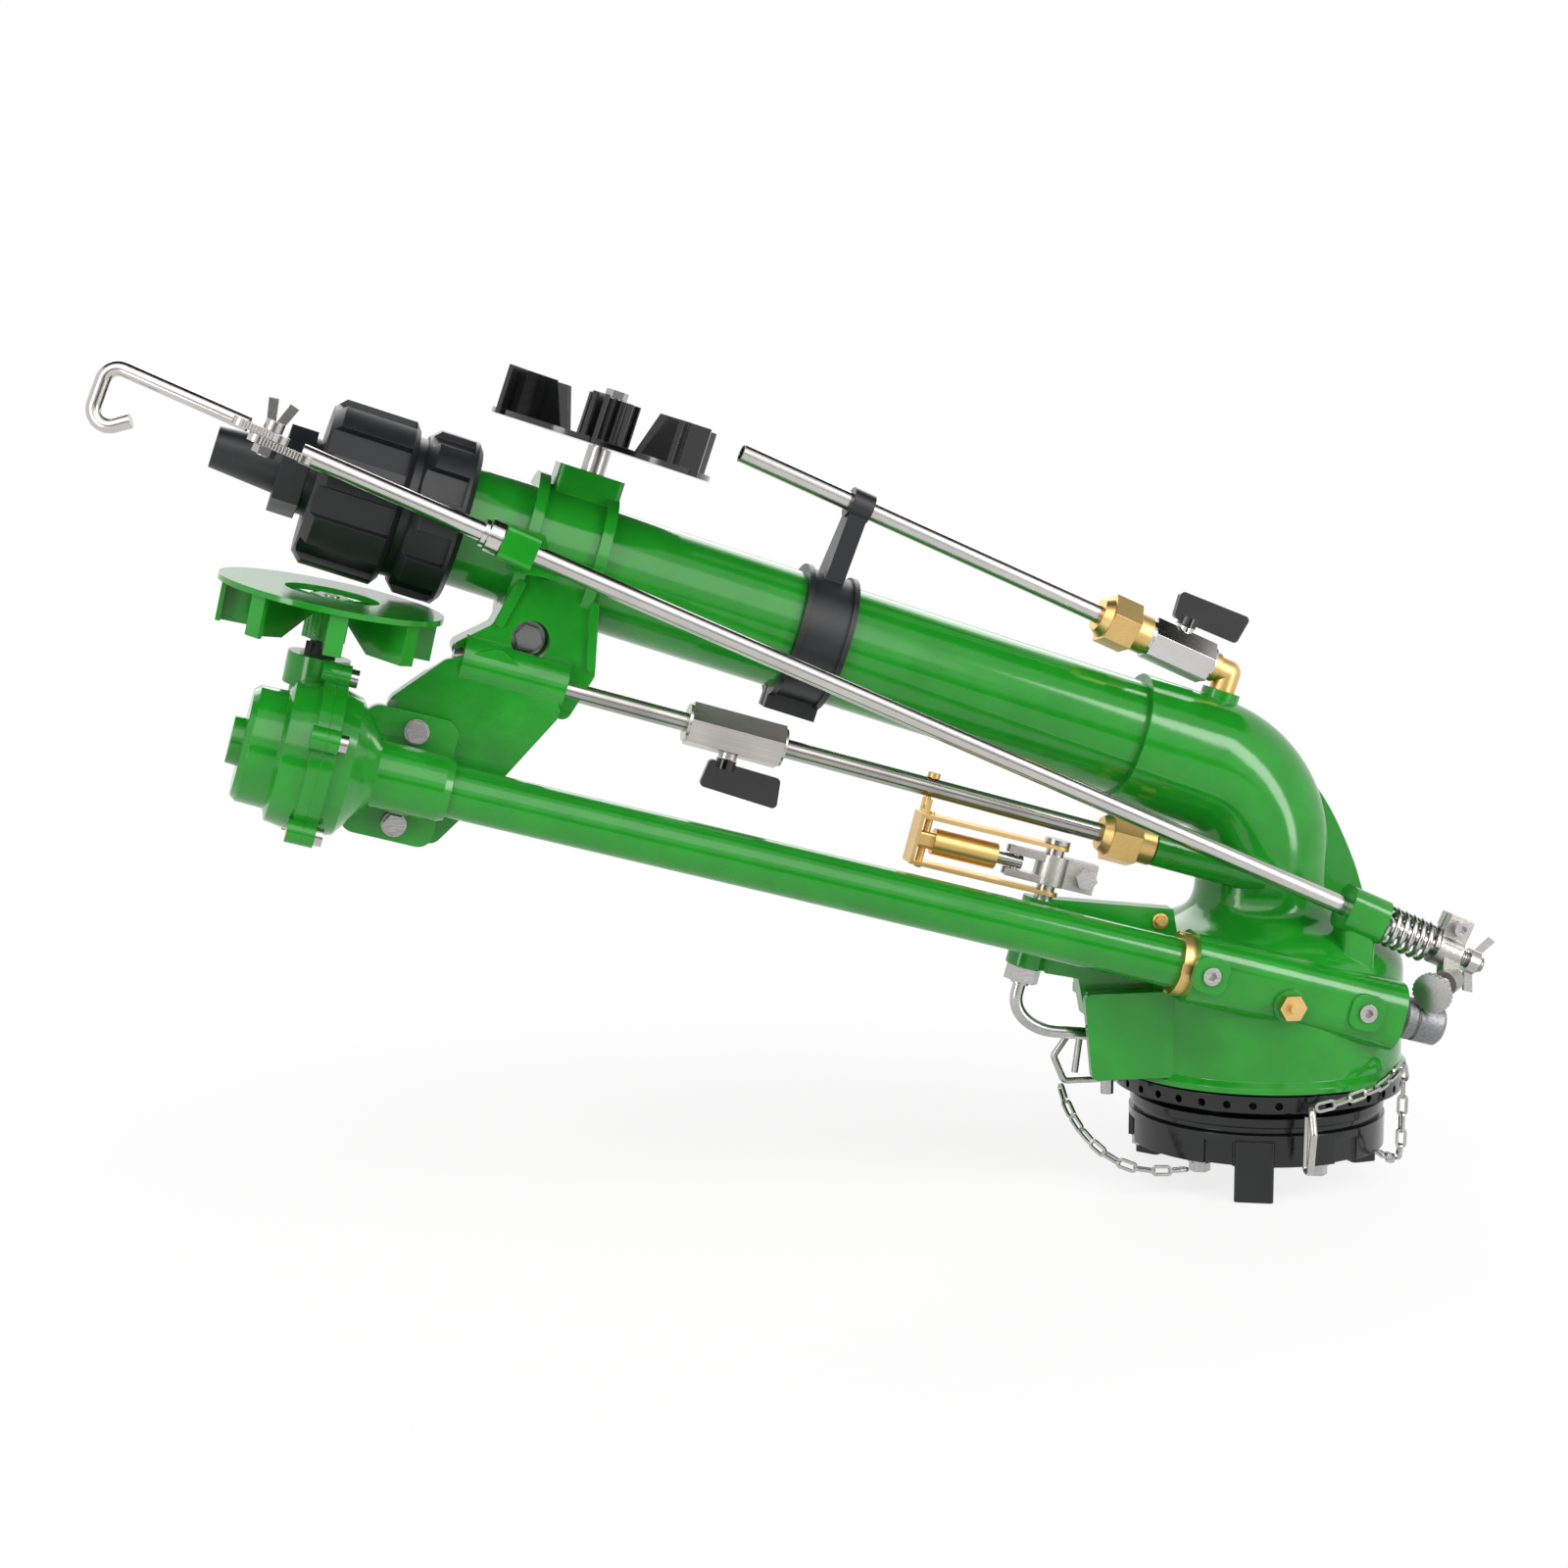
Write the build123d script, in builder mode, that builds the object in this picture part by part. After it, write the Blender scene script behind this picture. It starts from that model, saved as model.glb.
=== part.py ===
from build123d import *
import math
import os

os.makedirs("parts", exist_ok=True)

# Stance of the gun, in millimetres and degrees
barrel_angle = 18.3
drive_angle = 14.9
rod_angle = 24.1
feed_angle = 16.05
pivot_z = 199.0
drive_y = -62.0
drive_z = 94.8
feed_y = -30.0
rod_y = -56.0

# Fits and working gaps
running_gap = 0.05

# Water way and barrel
water_r = 29.0
barrel_r = 31.75
sleeve_r = 36.0
sleeve_start = 50.0
sleeve_end = 82.5
barrel_end = 531.0
bend_r = 50.0

# Base and swivel
inlet_r = 31.5
spindle_r = 37.5
bush_r = 45.0
hub_r = 48.5
hub_top = 84.0
base_r = 70.0
ring_r = 79.0
ring_low = 32.0
ring_top = 41.5
stop_hole_r = 2.1
stop_hole_count = 36
stop_hole_z = 36.5
gasket_r = 53.5
gasket_rise = 1.0
bolt_circle_r = 62.0
bolt_count = 6
bolt_phase = 43.0
lug_count = 3
lug_phase = 11.0
lug_drop = 18.0

# Drum of the turning body
drum_r = 78.0
drum_low = 43.0
drum_shoulder = 103.0
throat_low = 146.0
spindle_seat = 118.0
rib_half = 5.0

# Worm drive
worm_pitch_r = 10.1
worm_centre = -drive_y
gear_teeth = 40
worm_starts = 2
worm_phase = 0.0
tube_r = 13.5
tube_in_r = 10.5
housing_r = 20.0
housing_half = 18.5
shaft_r = 6.0
tube_start = 57.0
tube_end = 500.0
housing_end = -55.0
housing_start = 64.0
cap_r = 11.4

# Gearbox and turbine
turbine_y = -36.0
turbine_tilt = 12.5
turbine_lean = 3.0
gearbox_split = 529.0
wheel_r = 57.0
turbine_shaft_r = 4.0

# Small parts shared by several pieces
feed_r = 5.0
rod_r = 5.0
hex_valve_r = 12.2
splash_r = 59.0
pivot_r = 4.0


def side(x, y, z, angle, yaw=0.0):
    """Side plane at a point: local x runs toward the nozzle end, local y is up, local z is away from the viewer."""
    a = math.radians(angle)
    b = math.radians(yaw)
    along = (-math.cos(a) * math.cos(b), -math.cos(a) * math.sin(b), math.sin(a))
    return Plane(origin=(x, y, z), x_dir=along, z_dir=(-math.sin(b), math.cos(b), 0))


def across(plane, along, up=0.0):
    """Section plane square to a side plane: local x is toward the viewer, local y is up."""
    return Plane(origin=plane.from_local_coords((along, up, 0)), x_dir=(0, -1, 0), z_dir=plane.x_dir)


def spun(plane, turn):
    """The same plane, turned about its own normal."""
    t = math.radians(turn)
    return Plane(origin=plane.origin, x_dir=plane.x_dir * math.cos(t) + plane.y_dir * math.sin(t), z_dir=plane.z_dir)


def facing(plane, along, up, depth):
    """Plane that faces the viewer, at a point of a side plane."""
    return Plane(origin=plane.from_local_coords((along, up, depth)), x_dir=-plane.x_dir, z_dir=(0, -1, 0))


def upward(plane, along, up=0.0, depth=0.0):
    """Plane square to the up direction of a side plane."""
    return Plane(origin=plane.from_local_coords((along, up, depth)), x_dir=plane.x_dir, z_dir=plane.y_dir)


barrel = side(0, 0, pivot_z, barrel_angle)
drive = side(0, drive_y, drive_z, drive_angle)
rod = side(0, rod_y, 151.1, rod_angle)
low_feed = side(0, feed_y, 149.2, feed_angle)
feed_corner = barrel.from_local_coords((39, 50, 0))
top_feed = side(feed_corner.X, feed_corner.Y, feed_corner.Z, rod_angle, 4.0)
trip = side(-136.0, feed_y, 125.0, drive_angle)
turbine_base = drive.from_local_coords((539, 48.5, turbine_y - drive_y))
turbine_up = Vector(math.sin(math.radians(turbine_tilt)), -math.sin(math.radians(turbine_lean)),
                    math.cos(math.radians(turbine_tilt))).normalized()
turbine = Plane(origin=turbine_base, x_dir=Vector(0, -1, 0).cross(turbine_up), z_dir=turbine_up)

# Base: stationary casting with stop ring, hub and bolt lugs
with BuildPart() as base_casting:
    with BuildSketch(Plane.XZ):
        with BuildLine():
            Polyline((inlet_r, 0), (gasket_r, 0), (gasket_r, gasket_rise), (base_r, gasket_rise), (base_r, 18))
            Polyline((base_r, 18), (base_r - 3, 19), (base_r - 3, 21.5))
            Polyline((base_r - 3, 21.5), (base_r - 0.5, 22.5), (base_r - 0.5, 27), (base_r - 4, 29))
            Polyline((base_r - 4, 29), (base_r - 4, ring_low), (ring_r, ring_low + 1), (ring_r, ring_top))
            Polyline((ring_r, ring_top), (hub_r, ring_top), (hub_r, hub_top - 6), (bush_r, hub_top - 6))
            Polyline((bush_r, hub_top - 6), (bush_r, 9), (spindle_r + 0.5, 9), (spindle_r + 0.5, 6))
            Polyline((spindle_r + 0.5, 6), (inlet_r, 6), (inlet_r, 0))
        make_face()
    revolve(axis=Axis.Z)
    with BuildSketch(Plane.XZ):
        with Locations((56, 20)):
            Rectangle(9, 26)
    revolve(axis=Axis.Z, mode=Mode.SUBTRACT)
    with BuildSketch(Plane.XY.offset(-lug_drop)):
        with PolarLocations(base_r - 5.5, lug_count, start_angle=lug_phase):
            RectangleRounded(15, 21, 2.5)
    extrude(amount=lug_drop + 15)
    with BuildSketch():
        with PolarLocations(bolt_circle_r, bolt_count, start_angle=bolt_phase):
            Circle(3.3)
    extrude(amount=16, mode=Mode.SUBTRACT)
    with BuildSketch():
        with PolarLocations(base_r + 1, bolt_count, start_angle=bolt_phase + 12):
            RectangleRounded(7, 16, 2)
    extrude(amount=14, mode=Mode.SUBTRACT)
    for i in range(stop_hole_count):
        a = math.radians(i * 360 / stop_hole_count)
        out = Vector(math.cos(a), math.sin(a), 0)
        with BuildSketch(Plane(origin=out * (ring_r - 9) + Vector(0, 0, stop_hole_z), z_dir=out)):
            Circle(stop_hole_r)
        extrude(amount=12, mode=Mode.SUBTRACT)
base_casting.part.label = "base_casting"
export_step(base_casting.part, "parts/base_casting.step")

# Hex bolts that hold the inlet flange, heads down
with BuildPart() as flange_bolts:
    with BuildSketch(Plane.XY.offset(gasket_rise)):
        with PolarLocations(bolt_circle_r, bolt_count, start_angle=bolt_phase):
            Circle(3.0)
    extrude(amount=13)
    with BuildSketch(Plane.XY.offset(gasket_rise)):
        with PolarLocations(bolt_circle_r, bolt_count, start_angle=bolt_phase):
            Circle(6.5)
    extrude(amount=-1.6)
    with BuildSketch(Plane.XY.offset(gasket_rise - 1.6)):
        with PolarLocations(bolt_circle_r, bolt_count, start_angle=bolt_phase):
            RegularPolygon(5.8, 6)
    extrude(amount=-5)
flange_bolts.part.label = "flange_bolts"
export_step(flange_bolts.part, "parts/flange_bolts.step")

# Lip seal between the inlet and the turning spindle
with BuildPart() as inlet_seal:
    with BuildSketch(Plane.XZ):
        with BuildLine():
            Polyline((32.5, 6), (37, 6), (37, 7.8), (36, 7.8), (35.5, 6.8), (34, 6.8), (33.5, 7.8), (32.5, 7.8), (32.5, 6))
        make_face()
    revolve(axis=Axis.Z)
inlet_seal.part.label = "inlet_seal"
export_step(inlet_seal.part, "parts/inlet_seal.step")

# Plain bronze bush that carries the spindle
with BuildPart() as swivel_bush:
    with BuildSketch(Plane.XY.offset(12)):
        Circle(bush_r)
        Circle(spindle_r + running_gap, mode=Mode.SUBTRACT)
    extrude(amount=hub_top - 20)
swivel_bush.part.label = "swivel_bush"
export_step(swivel_bush.part, "parts/swivel_bush.step")

# Fixed ring gear: straight teeth, because the worm leans by its own lead angle
gear_pitch_r = worm_centre - worm_pitch_r
gear_root_r = gear_pitch_r - 2.6
gear_tip_r = gear_pitch_r + 1.1
tooth_height = gear_tip_r - gear_root_r + 0.5
with BuildPart() as ring_gear:
    with BuildSketch(Plane.XY.offset(hub_top - 6)):
        Circle(gear_root_r)
        Circle(bush_r, mode=Mode.SUBTRACT)
    extrude(amount=28)
    with BuildSketch(Plane.XY.offset(hub_top - 1)):
        with PolarLocations(gear_root_r - 0.5, gear_teeth):
            Polygon((0, -2.1), (tooth_height, -0.9), (tooth_height, 0.9), (0, 2.1), align=None)
    extrude(amount=23)
ring_gear.part.label = "ring_gear"
export_step(ring_gear.part, "parts/ring_gear.step")

# Spindle: tube that carries the gun, pressed in the drum's crown and running in the bush
with BuildPart() as spindle:
    with BuildSketch(Plane.XY.offset(8)):
        Circle(spindle_r)
        Circle(water_r, mode=Mode.SUBTRACT)
    extrude(amount=spindle_seat - 8)
spindle.part.label = "spindle"
export_step(spindle.part, "parts/spindle.step")

# Body casting: drum, shoulder, worm housing, guard, trip boss and the rear eye of the rod
with BuildPart() as body_casting:
    with BuildSketch(Plane.XZ):
        with BuildLine():
            Polyline((0, drum_low), (drum_r + 3, drum_low), (drum_r + 3, drum_low + 3), (drum_r, drum_low + 6))
            Line((drum_r, drum_low + 6), (drum_r, drum_shoulder - 6))
            Spline((drum_r, drum_shoulder - 6), (drum_r - 8, drum_shoulder + 10), (52, 124), (sleeve_r, throat_low),
                   tangents=((0, 1), (0, 1)))
            Polyline((sleeve_r, throat_low), (0, throat_low), (0, drum_low))
        make_face()
    revolve(axis=Axis.Z)
    with BuildSketch(Plane.XZ.offset(-rib_half)):
        with BuildLine():
            Spline((54.3, throat_low), (58, 134), tangents=((0.3, -1), (0.25, -1)))
            Polyline((58, 134), (56, 118), (20, 118), (20, throat_low), (54.3, throat_low))
        make_face()
    extrude(amount=2 * rib_half)
    # worm housing with its screw pads and plug boss
    with BuildSketch(across(drive, housing_end)):
        RectangleRounded(2 * housing_r, 2 * housing_half, 14)
    extrude(amount=housing_start - housing_end)
    for pad_along in (56, -33):
        with BuildSketch(facing(drive, pad_along, 0, -housing_r - 1.5)):
            RectangleRounded(19, 19, 6)
        extrude(amount=-14)
    with BuildSketch(facing(drive, 9.6, -6, -housing_r - 2)):
        Circle(9)
    extrude(amount=-12)
    # trip shaft boss, its arm and the guard that shields the trip rod
    with BuildSketch(upward(trip, 0, -18)):
        Circle(10.5)
    extrude(amount=37)
    with BuildSketch(Plane.XZ.offset(22)) as trip_arm:
        with BuildLine():
            Polyline((-142, 106), (-132, 144), (-60, 136), (-50, 80), (-108, 80), (-112, 100), close=True)
        make_face()
        fillet(trip_arm.vertices().sort_by(Axis.X)[:2], radius=5)
    extrude(amount=12)
    with BuildSketch(Plane.XZ.offset(42)) as guard:
        with BuildLine():
            Polyline((-112, 94), (-40, 94), (-40, 47), (-107, 47), close=True)
        make_face()
        fillet(guard.vertices(), radius=4)
    extrude(amount=5)
    with BuildSketch(Plane.XZ.offset(12)):
        with BuildLine():
            Polyline((-109, 94), (-40, 94), (-40, 89), (-109, 89), close=True)
        make_face()
    extrude(amount=31)
    # rear eye of the rod on its column
    with BuildSketch(across(rod, -52)):
        RectangleRounded(24, 24, 8)
    extrude(amount=22)
    with BuildSketch(Plane(origin=(34, rod_y + 2, 95))):
        RectangleRounded(18, 22, 5)
    extrude(amount=34)
    # hollow round the gear, seat of the spindle, water way and worm bore
    with BuildSketch(Plane.XZ):
        with BuildLine():
            Polyline((0, drum_low - 5), (drum_r - 4, drum_low - 5), (drum_r - 4, 66), (58, 78), (58, 110))
            Polyline((58, 110), (spindle_r, 110), (spindle_r, spindle_seat), (0, spindle_seat), (0, drum_low - 5))
        make_face()
    revolve(axis=Axis.Z, mode=Mode.SUBTRACT)
    with BuildSketch():
        Circle(water_r)
    extrude(amount=throat_low + 1, mode=Mode.SUBTRACT)
    with BuildSketch(across(drive, housing_end - 1)):
        Circle(tube_r)
    extrude(amount=housing_start - housing_end + 30, mode=Mode.SUBTRACT)
    with BuildSketch(across(drive, housing_end)):
        Circle(cap_r + 0.8)
    extrude(amount=-32, mode=Mode.SUBTRACT)
    with BuildSketch(across(drive, housing_start)):
        Circle(17.8)
    extrude(amount=8, mode=Mode.SUBTRACT)
    with BuildSketch(upward(trip, 0, -30)):
        Circle(11.5)
    extrude(amount=12, mode=Mode.SUBTRACT)
    # bores for the rod, the trip shaft, the screws and the plug
    with BuildSketch(across(rod, -60)):
        Circle(rod_r + running_gap)
    extrude(amount=50, mode=Mode.SUBTRACT)
    with BuildSketch(upward(trip, 0, -25)):
        Circle(5 + running_gap)
    extrude(amount=60, mode=Mode.SUBTRACT)
    for pad_along in (56, -33):
        with BuildSketch(facing(drive, pad_along, 0, -housing_r - 3)):
            Circle(3)
        extrude(amount=-10, mode=Mode.SUBTRACT)
    with BuildSketch(facing(drive, 9.6, -6, -housing_r - 3)):
        Circle(3.5)
    extrude(amount=-12, mode=Mode.SUBTRACT)
body_casting.part.label = "body_casting"
export_step(body_casting.part, "parts/body_casting.step")

# Elbow casting: throat, bend with its rear rib, barrel sleeve and the bosses of both feeds
bend_rise = bend_r * math.tan(math.radians(90 - barrel_angle) / 2)
bend_low = Vector(0, 0, pivot_z - bend_rise)
bend_high = barrel.from_local_coords((bend_rise, 0, 0))
with BuildPart() as elbow_casting:
    with BuildLine() as elbow_path:
        Line((0, 0, throat_low), bend_low)
        TangentArc(bend_low, bend_high, tangent=(0, 0, 1))
        Line(bend_high, barrel.from_local_coords((sleeve_end, 0, 0)))
    with BuildSketch(Plane.XY.offset(throat_low)):
        Circle(sleeve_r)
    sweep(path=elbow_path.wires()[0])
    with BuildSketch(Plane.XZ.offset(-rib_half)):
        with BuildLine():
            Spline((-18, 238.5), (13, 214), (34, 189), (49, 160), (54.3, throat_low), tangents=((1, -0.6), (0.3, -1)))
            Polyline((54.3, throat_low), (20, throat_low), (20, 190), (-18, 225), (-18, 238.5))
        make_face()
    extrude(amount=2 * rib_half)
    with BuildSketch(upward(barrel, 39, 25)):
        Circle(10.5)
    extrude(amount=15)
    with BuildSketch(across(low_feed, 10)):
        Circle(10)
    extrude(amount=64)
    with BuildSketch(Plane.XY.offset(throat_low)):
        Circle(drum_r)
    extrude(amount=-20, mode=Mode.SUBTRACT)
    with BuildLine() as water_path:
        Line((0, 0, throat_low - 1), bend_low)
        TangentArc(bend_low, bend_high, tangent=(0, 0, 1))
        Line(bend_high, barrel.from_local_coords((sleeve_end + 5, 0, 0)))
    with BuildSketch(Plane.XY.offset(throat_low - 1)):
        Circle(water_r)
    sweep(path=water_path.wires()[0], mode=Mode.SUBTRACT)
    with BuildSketch(across(barrel, sleeve_start)):
        Circle(barrel_r)
    extrude(amount=50, mode=Mode.SUBTRACT)
    with BuildSketch(upward(barrel, 39, 15)):
        Circle(3)
    extrude(amount=30, mode=Mode.SUBTRACT)
    with BuildSketch(across(low_feed, 8.5)):
        Circle(feed_r + running_gap)
    extrude(amount=80, mode=Mode.SUBTRACT)
elbow_casting.part.label = "elbow_casting"
export_step(elbow_casting.part, "parts/elbow_casting.step")

# Barrel: plain tube pressed in the sleeve
with BuildPart() as barrel_tube:
    with BuildSketch(across(barrel, sleeve_start)):
        Circle(barrel_r)
        Circle(water_r, mode=Mode.SUBTRACT)
    extrude(amount=barrel_end - 3 - sleeve_start)
barrel_tube.part.label = "barrel_tube"
export_step(barrel_tube.part, "parts/barrel_tube.step")

# Cross vanes in a ring that straighten the water in the barrel
with BuildPart() as flow_vanes:
    with BuildSketch(across(barrel, 130)):
        Circle(water_r)
        Circle(water_r - 1.2, mode=Mode.SUBTRACT)
        for turn in (0, 60, 120):
            Rectangle(2 * water_r - 1, 1.5, rotation=turn)
    extrude(amount=90)
flow_vanes.part.label = "flow_vanes"
export_step(flow_vanes.part, "parts/flow_vanes.step")

# Tapered nozzle: inner cone inside the barrel, flange, collar, hex and tip
with BuildPart() as nozzle:
    with BuildSketch(barrel):
        with BuildLine():
            Polyline((498, 0), (498, 28.9), (528.2, 28.9), (528.2, 31.4), (532, 31.4), (532, 20), (541, 20))
            Polyline((541, 20), (541, 14.5), (556, 13.6), (588, 10.8), (588, 0), (498, 0))
        make_face()
    revolve(axis=Axis(barrel.origin, barrel.x_dir))
    with BuildSketch(across(barrel, 540)):
        RegularPolygon(23.5, 6, rotation=20)
    extrude(amount=14)
    with BuildSketch(barrel):
        with BuildLine():
            Polyline((498, 0), (498, 28.2), (532, 16.5), (556, 9.5), (572, 8), (588, 8), (588, 0), (498, 0))
        make_face()
    revolve(axis=Axis(barrel.origin, barrel.x_dir), mode=Mode.SUBTRACT)
nozzle.part.label = "nozzle"
export_step(nozzle.part, "parts/nozzle.step")


# Ribbed nozzle nut and barrel nut: broad ribs with shallow pockets between them
nut_r = 43.5
rib_count = 8
neck_r = barrel_r + 5
for nut_name, start, length, lip, neck in (("nozzle_nut", 491, 45, 3, 0), ("barrel_nut", 458, 28, 5, 4.7)):
    with BuildPart() as ribbed_nut:
        with BuildSketch(barrel):
            with BuildLine():
                Polyline((start, 0), (start, nut_r - 4), (start + 3, nut_r), (start + length - 5, nut_r))
                Polyline((start + length - 5, nut_r), (start + length, nut_r - 5), (start + length, 0), (start, 0))
            make_face()
        revolve(axis=Axis(barrel.origin, barrel.x_dir))
        with BuildSketch(across(barrel, start + lip)):
            with PolarLocations(nut_r, rib_count, start_angle=start * 3):
                Trapezoid(math.pi * nut_r / rib_count + 3, 8, 70, rotation=90)
        extrude(amount=length, mode=Mode.SUBTRACT)
        with BuildSketch(across(barrel, start)):
            Circle(neck_r)
        extrude(amount=length + neck)
        with BuildSketch(across(barrel, start)):
            Circle(barrel_r)
        extrude(amount=41.2, mode=Mode.SUBTRACT)
        with BuildSketch(across(barrel, start)):
            Circle(20.4)
        extrude(amount=50, mode=Mode.SUBTRACT)
    ribbed_nut.part.label = nut_name
    export_step(ribbed_nut.part, "parts/" + nut_name + ".step")

# Barrel bracket: split clamp, pad, rod eye, feed bearing and web to the gearbox in one casting
with BuildPart() as barrel_bracket:
    with BuildSketch(across(barrel, 384.5)):
        Circle(35.5)
    extrude(amount=43)
    for rib_start in (384.5, 421.5):
        with BuildSketch(across(barrel, rib_start)):
            Circle(39.3)
        extrude(amount=6)
    with BuildSketch(upward(barrel, 402, 28)):
        RectangleRounded(35, 30, 3)
    extrude(amount=18.5)
    with BuildSketch(facing(barrel, 409, -43, -17)):
        RectangleRounded(27, 24, 8)
    extrude(amount=-27)
    with BuildSketch(barrel.offset(-34)) as neck_plate:
        with BuildLine():
            Polyline((382, -12), (372, -52), (379, -78), (432, -78), (447, -58), (430, -42), (424, -12), close=True)
        make_face()
        fillet(neck_plate.vertices(), radius=5)
    extrude(amount=28)
    for edge_top, edge_low in (((384, -16), (375, -50)), ((422, -16), (427, -42))):
        with BuildSketch(barrel.offset(-36.5)):
            slant = math.degrees(math.atan2(edge_top[1] - edge_low[1], edge_top[0] - edge_low[0]))
            with Locations(((edge_top[0] + edge_low[0]) / 2, (edge_top[1] + edge_low[1]) / 2)):
                SlotOverall(math.dist(edge_top, edge_low), 4.5, rotation=slant)
        extrude(amount=12)
    with BuildSketch(across(low_feed, 401)):
        Circle(15)
    extrude(amount=55)
    with BuildSketch(drive.offset(18.4)) as lower_plate:
        with BuildLine():
            Polyline((413, 51), (452, 74), (478, 62), (500, 37), (506, -10), (496, -31), (461, -31), (434, 12), close=True)
        make_face()
        fillet(lower_plate.vertices(), radius=7)
    extrude(amount=13.6)
    with BuildSketch(across(rod, 440)):
        RectangleRounded(18, 18, 3)
    extrude(amount=18)
    with BuildSketch(Plane.XZ.offset(20)):
        with BuildLine():
            Polyline((-414, 346), (-396, 340), (-390, 318), (-414, 322), (-414, 346))
        make_face()
    extrude(amount=36)
    # barrel bore, clamp slit, feed bore, rod bore, bolt holes
    with BuildSketch(across(barrel, 340)):
        Circle(barrel_r)
    extrude(amount=140, mode=Mode.SUBTRACT)
    with BuildSketch(across(barrel, 380, -46)):
        Rectangle(3, 36)
    extrude(amount=60, mode=Mode.SUBTRACT)
    with BuildSketch(upward(barrel, 401, 36)):
        Circle(pivot_r)
    extrude(amount=20, mode=Mode.SUBTRACT)
    with BuildSketch(across(low_feed, 380)):
        Circle(feed_r + running_gap)
    extrude(amount=100, mode=Mode.SUBTRACT)
    with BuildSketch(across(low_feed, 440)):
        Circle(8.3)
    extrude(amount=50, mode=Mode.SUBTRACT)
    with BuildSketch(across(rod, 400)):
        Circle(rod_r + running_gap)
    extrude(amount=80, mode=Mode.SUBTRACT)
    with BuildSketch(facing(barrel, 409, -44, -20)):
        Circle(4)
    extrude(amount=-40, mode=Mode.SUBTRACT)
    with BuildSketch(facing(barrel, 409, -44, -17)):
        Circle(10)
    extrude(amount=20, mode=Mode.SUBTRACT)
    with BuildSketch(across(drive, 496)):
        Circle(40.5)
    extrude(amount=30, mode=Mode.SUBTRACT)
    for ear_up in (24, -24):
        with BuildSketch(facing(drive, 484, ear_up, 15)):
            Circle(3)
        extrude(amount=-20, mode=Mode.SUBTRACT)
    with BuildSketch(across(drive, 440)):
        Circle(tube_r + 4)
    extrude(amount=80, mode=Mode.SUBTRACT)
barrel_bracket.part.label = "barrel_bracket"
export_step(barrel_bracket.part, "parts/barrel_bracket.step")

# Pinch bolt of the bracket with wide washer and nut
with BuildPart() as clamp_bolt:
    with BuildSketch(facing(barrel, 409, -44, -17)):
        Circle(4)
    extrude(amount=-35)
    with BuildSketch(facing(barrel, 409, -44, -17)):
        Circle(9)
    extrude(amount=1.8)
    with BuildSketch(facing(barrel, 409, -44, -18.8)):
        RegularPolygon(7.4, 6)
    extrude(amount=5.5)
    with BuildSketch(facing(barrel, 409, -44, 10)):
        RegularPolygon(7.4, 6)
    extrude(amount=-6.5)
clamp_bolt.part.label = "clamp_bolt"
export_step(clamp_bolt.part, "parts/clamp_bolt.step")

# Two bolts that hold the gearbox ears to the bracket, nuts toward the viewer
with BuildPart() as ear_bolts:
    for ear_up in (24, -24):
        with BuildSketch(facing(drive, 484, ear_up, 9)):
            Circle(3)
        extrude(amount=-23.4)
        with BuildSketch(facing(drive, 484, ear_up, 9)):
            Circle(6.4)
        extrude(amount=1.4)
        with BuildSketch(facing(drive, 484, ear_up, 7.6)):
            RegularPolygon(5.8, 6)
        extrude(amount=5)
        with BuildSketch(facing(drive, 484, ear_up, 32)):
            RegularPolygon(5.8, 6)
        extrude(amount=-4)
ear_bolts.part.label = "ear_bolts"
export_step(ear_bolts.part, "parts/ear_bolts.step")

# Drive tube between the worm housing and the gearbox, and its brass lock ring
with BuildPart() as drive_tube:
    with BuildSketch(across(drive, tube_start)):
        Circle(tube_r)
        Circle(tube_in_r, mode=Mode.SUBTRACT)
    extrude(amount=tube_end - tube_start)
drive_tube.part.label = "drive_tube"
export_step(drive_tube.part, "parts/drive_tube.step")

with BuildPart() as tube_locknut:
    with BuildSketch(across(drive, 64)):
        Circle(17)
        Circle(tube_r, mode=Mode.SUBTRACT)
        with PolarLocations(17, 4):
            Rectangle(3, 5, mode=Mode.SUBTRACT)
    extrude(amount=6.5)
tube_locknut.part.label = "tube_locknut"
export_step(tube_locknut.part, "parts/tube_locknut.step")

# Gearbox rear half: socket with ears, bell and screw flange
screw_circle_r = 43.2
screw_count = 5
screw_turn = 20.0
with BuildPart() as gearbox_rear:
    with BuildSketch(drive):
        with BuildLine():
            Polyline((462, 0), (462, 15.5), (466, 17), (500, 17.5), (508, 27), (514, 35), (523, 37.5), (523, 40))
            Polyline((523, 40), (gearbox_split, 40), (gearbox_split, 0), (462, 0))
        make_face()
    revolve(axis=Axis(drive.origin, drive.x_dir))
    with BuildSketch(across(drive, 523)):
        with PolarLocations(screw_circle_r, screw_count, start_angle=screw_turn):
            Circle(6)
    extrude(amount=gearbox_split - 523)
    with BuildSketch(facing(drive, 484, 0, 10)):
        with Locations((-3, 0)):
            RectangleRounded(48, 66, 8)
    extrude(amount=-8)
    with BuildSketch(across(drive, 455)):
        Circle(tube_r)
    extrude(amount=tube_end - 455, mode=Mode.SUBTRACT)
    with BuildSketch(across(drive, 495)):
        Circle(shaft_r + 0.5)
    extrude(amount=40, mode=Mode.SUBTRACT)
    with BuildSketch(drive):
        with BuildLine():
            Polyline((510, 0), (510, 24), (516, 31), (gearbox_split, 31), (gearbox_split, 0), (510, 0))
        make_face()
    revolve(axis=Axis(drive.origin, drive.x_dir), mode=Mode.SUBTRACT)
    for ear_up in (24, -24):
        with BuildSketch(facing(drive, 484, ear_up, 5)):
            Circle(3)
        extrude(amount=-20, mode=Mode.SUBTRACT)
    with BuildSketch(across(drive, 520)):
        with PolarLocations(screw_circle_r, screw_count, start_angle=screw_turn):
            Circle(2)
    extrude(amount=20, mode=Mode.SUBTRACT)
gearbox_rear.part.label = "gearbox_rear"
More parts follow.
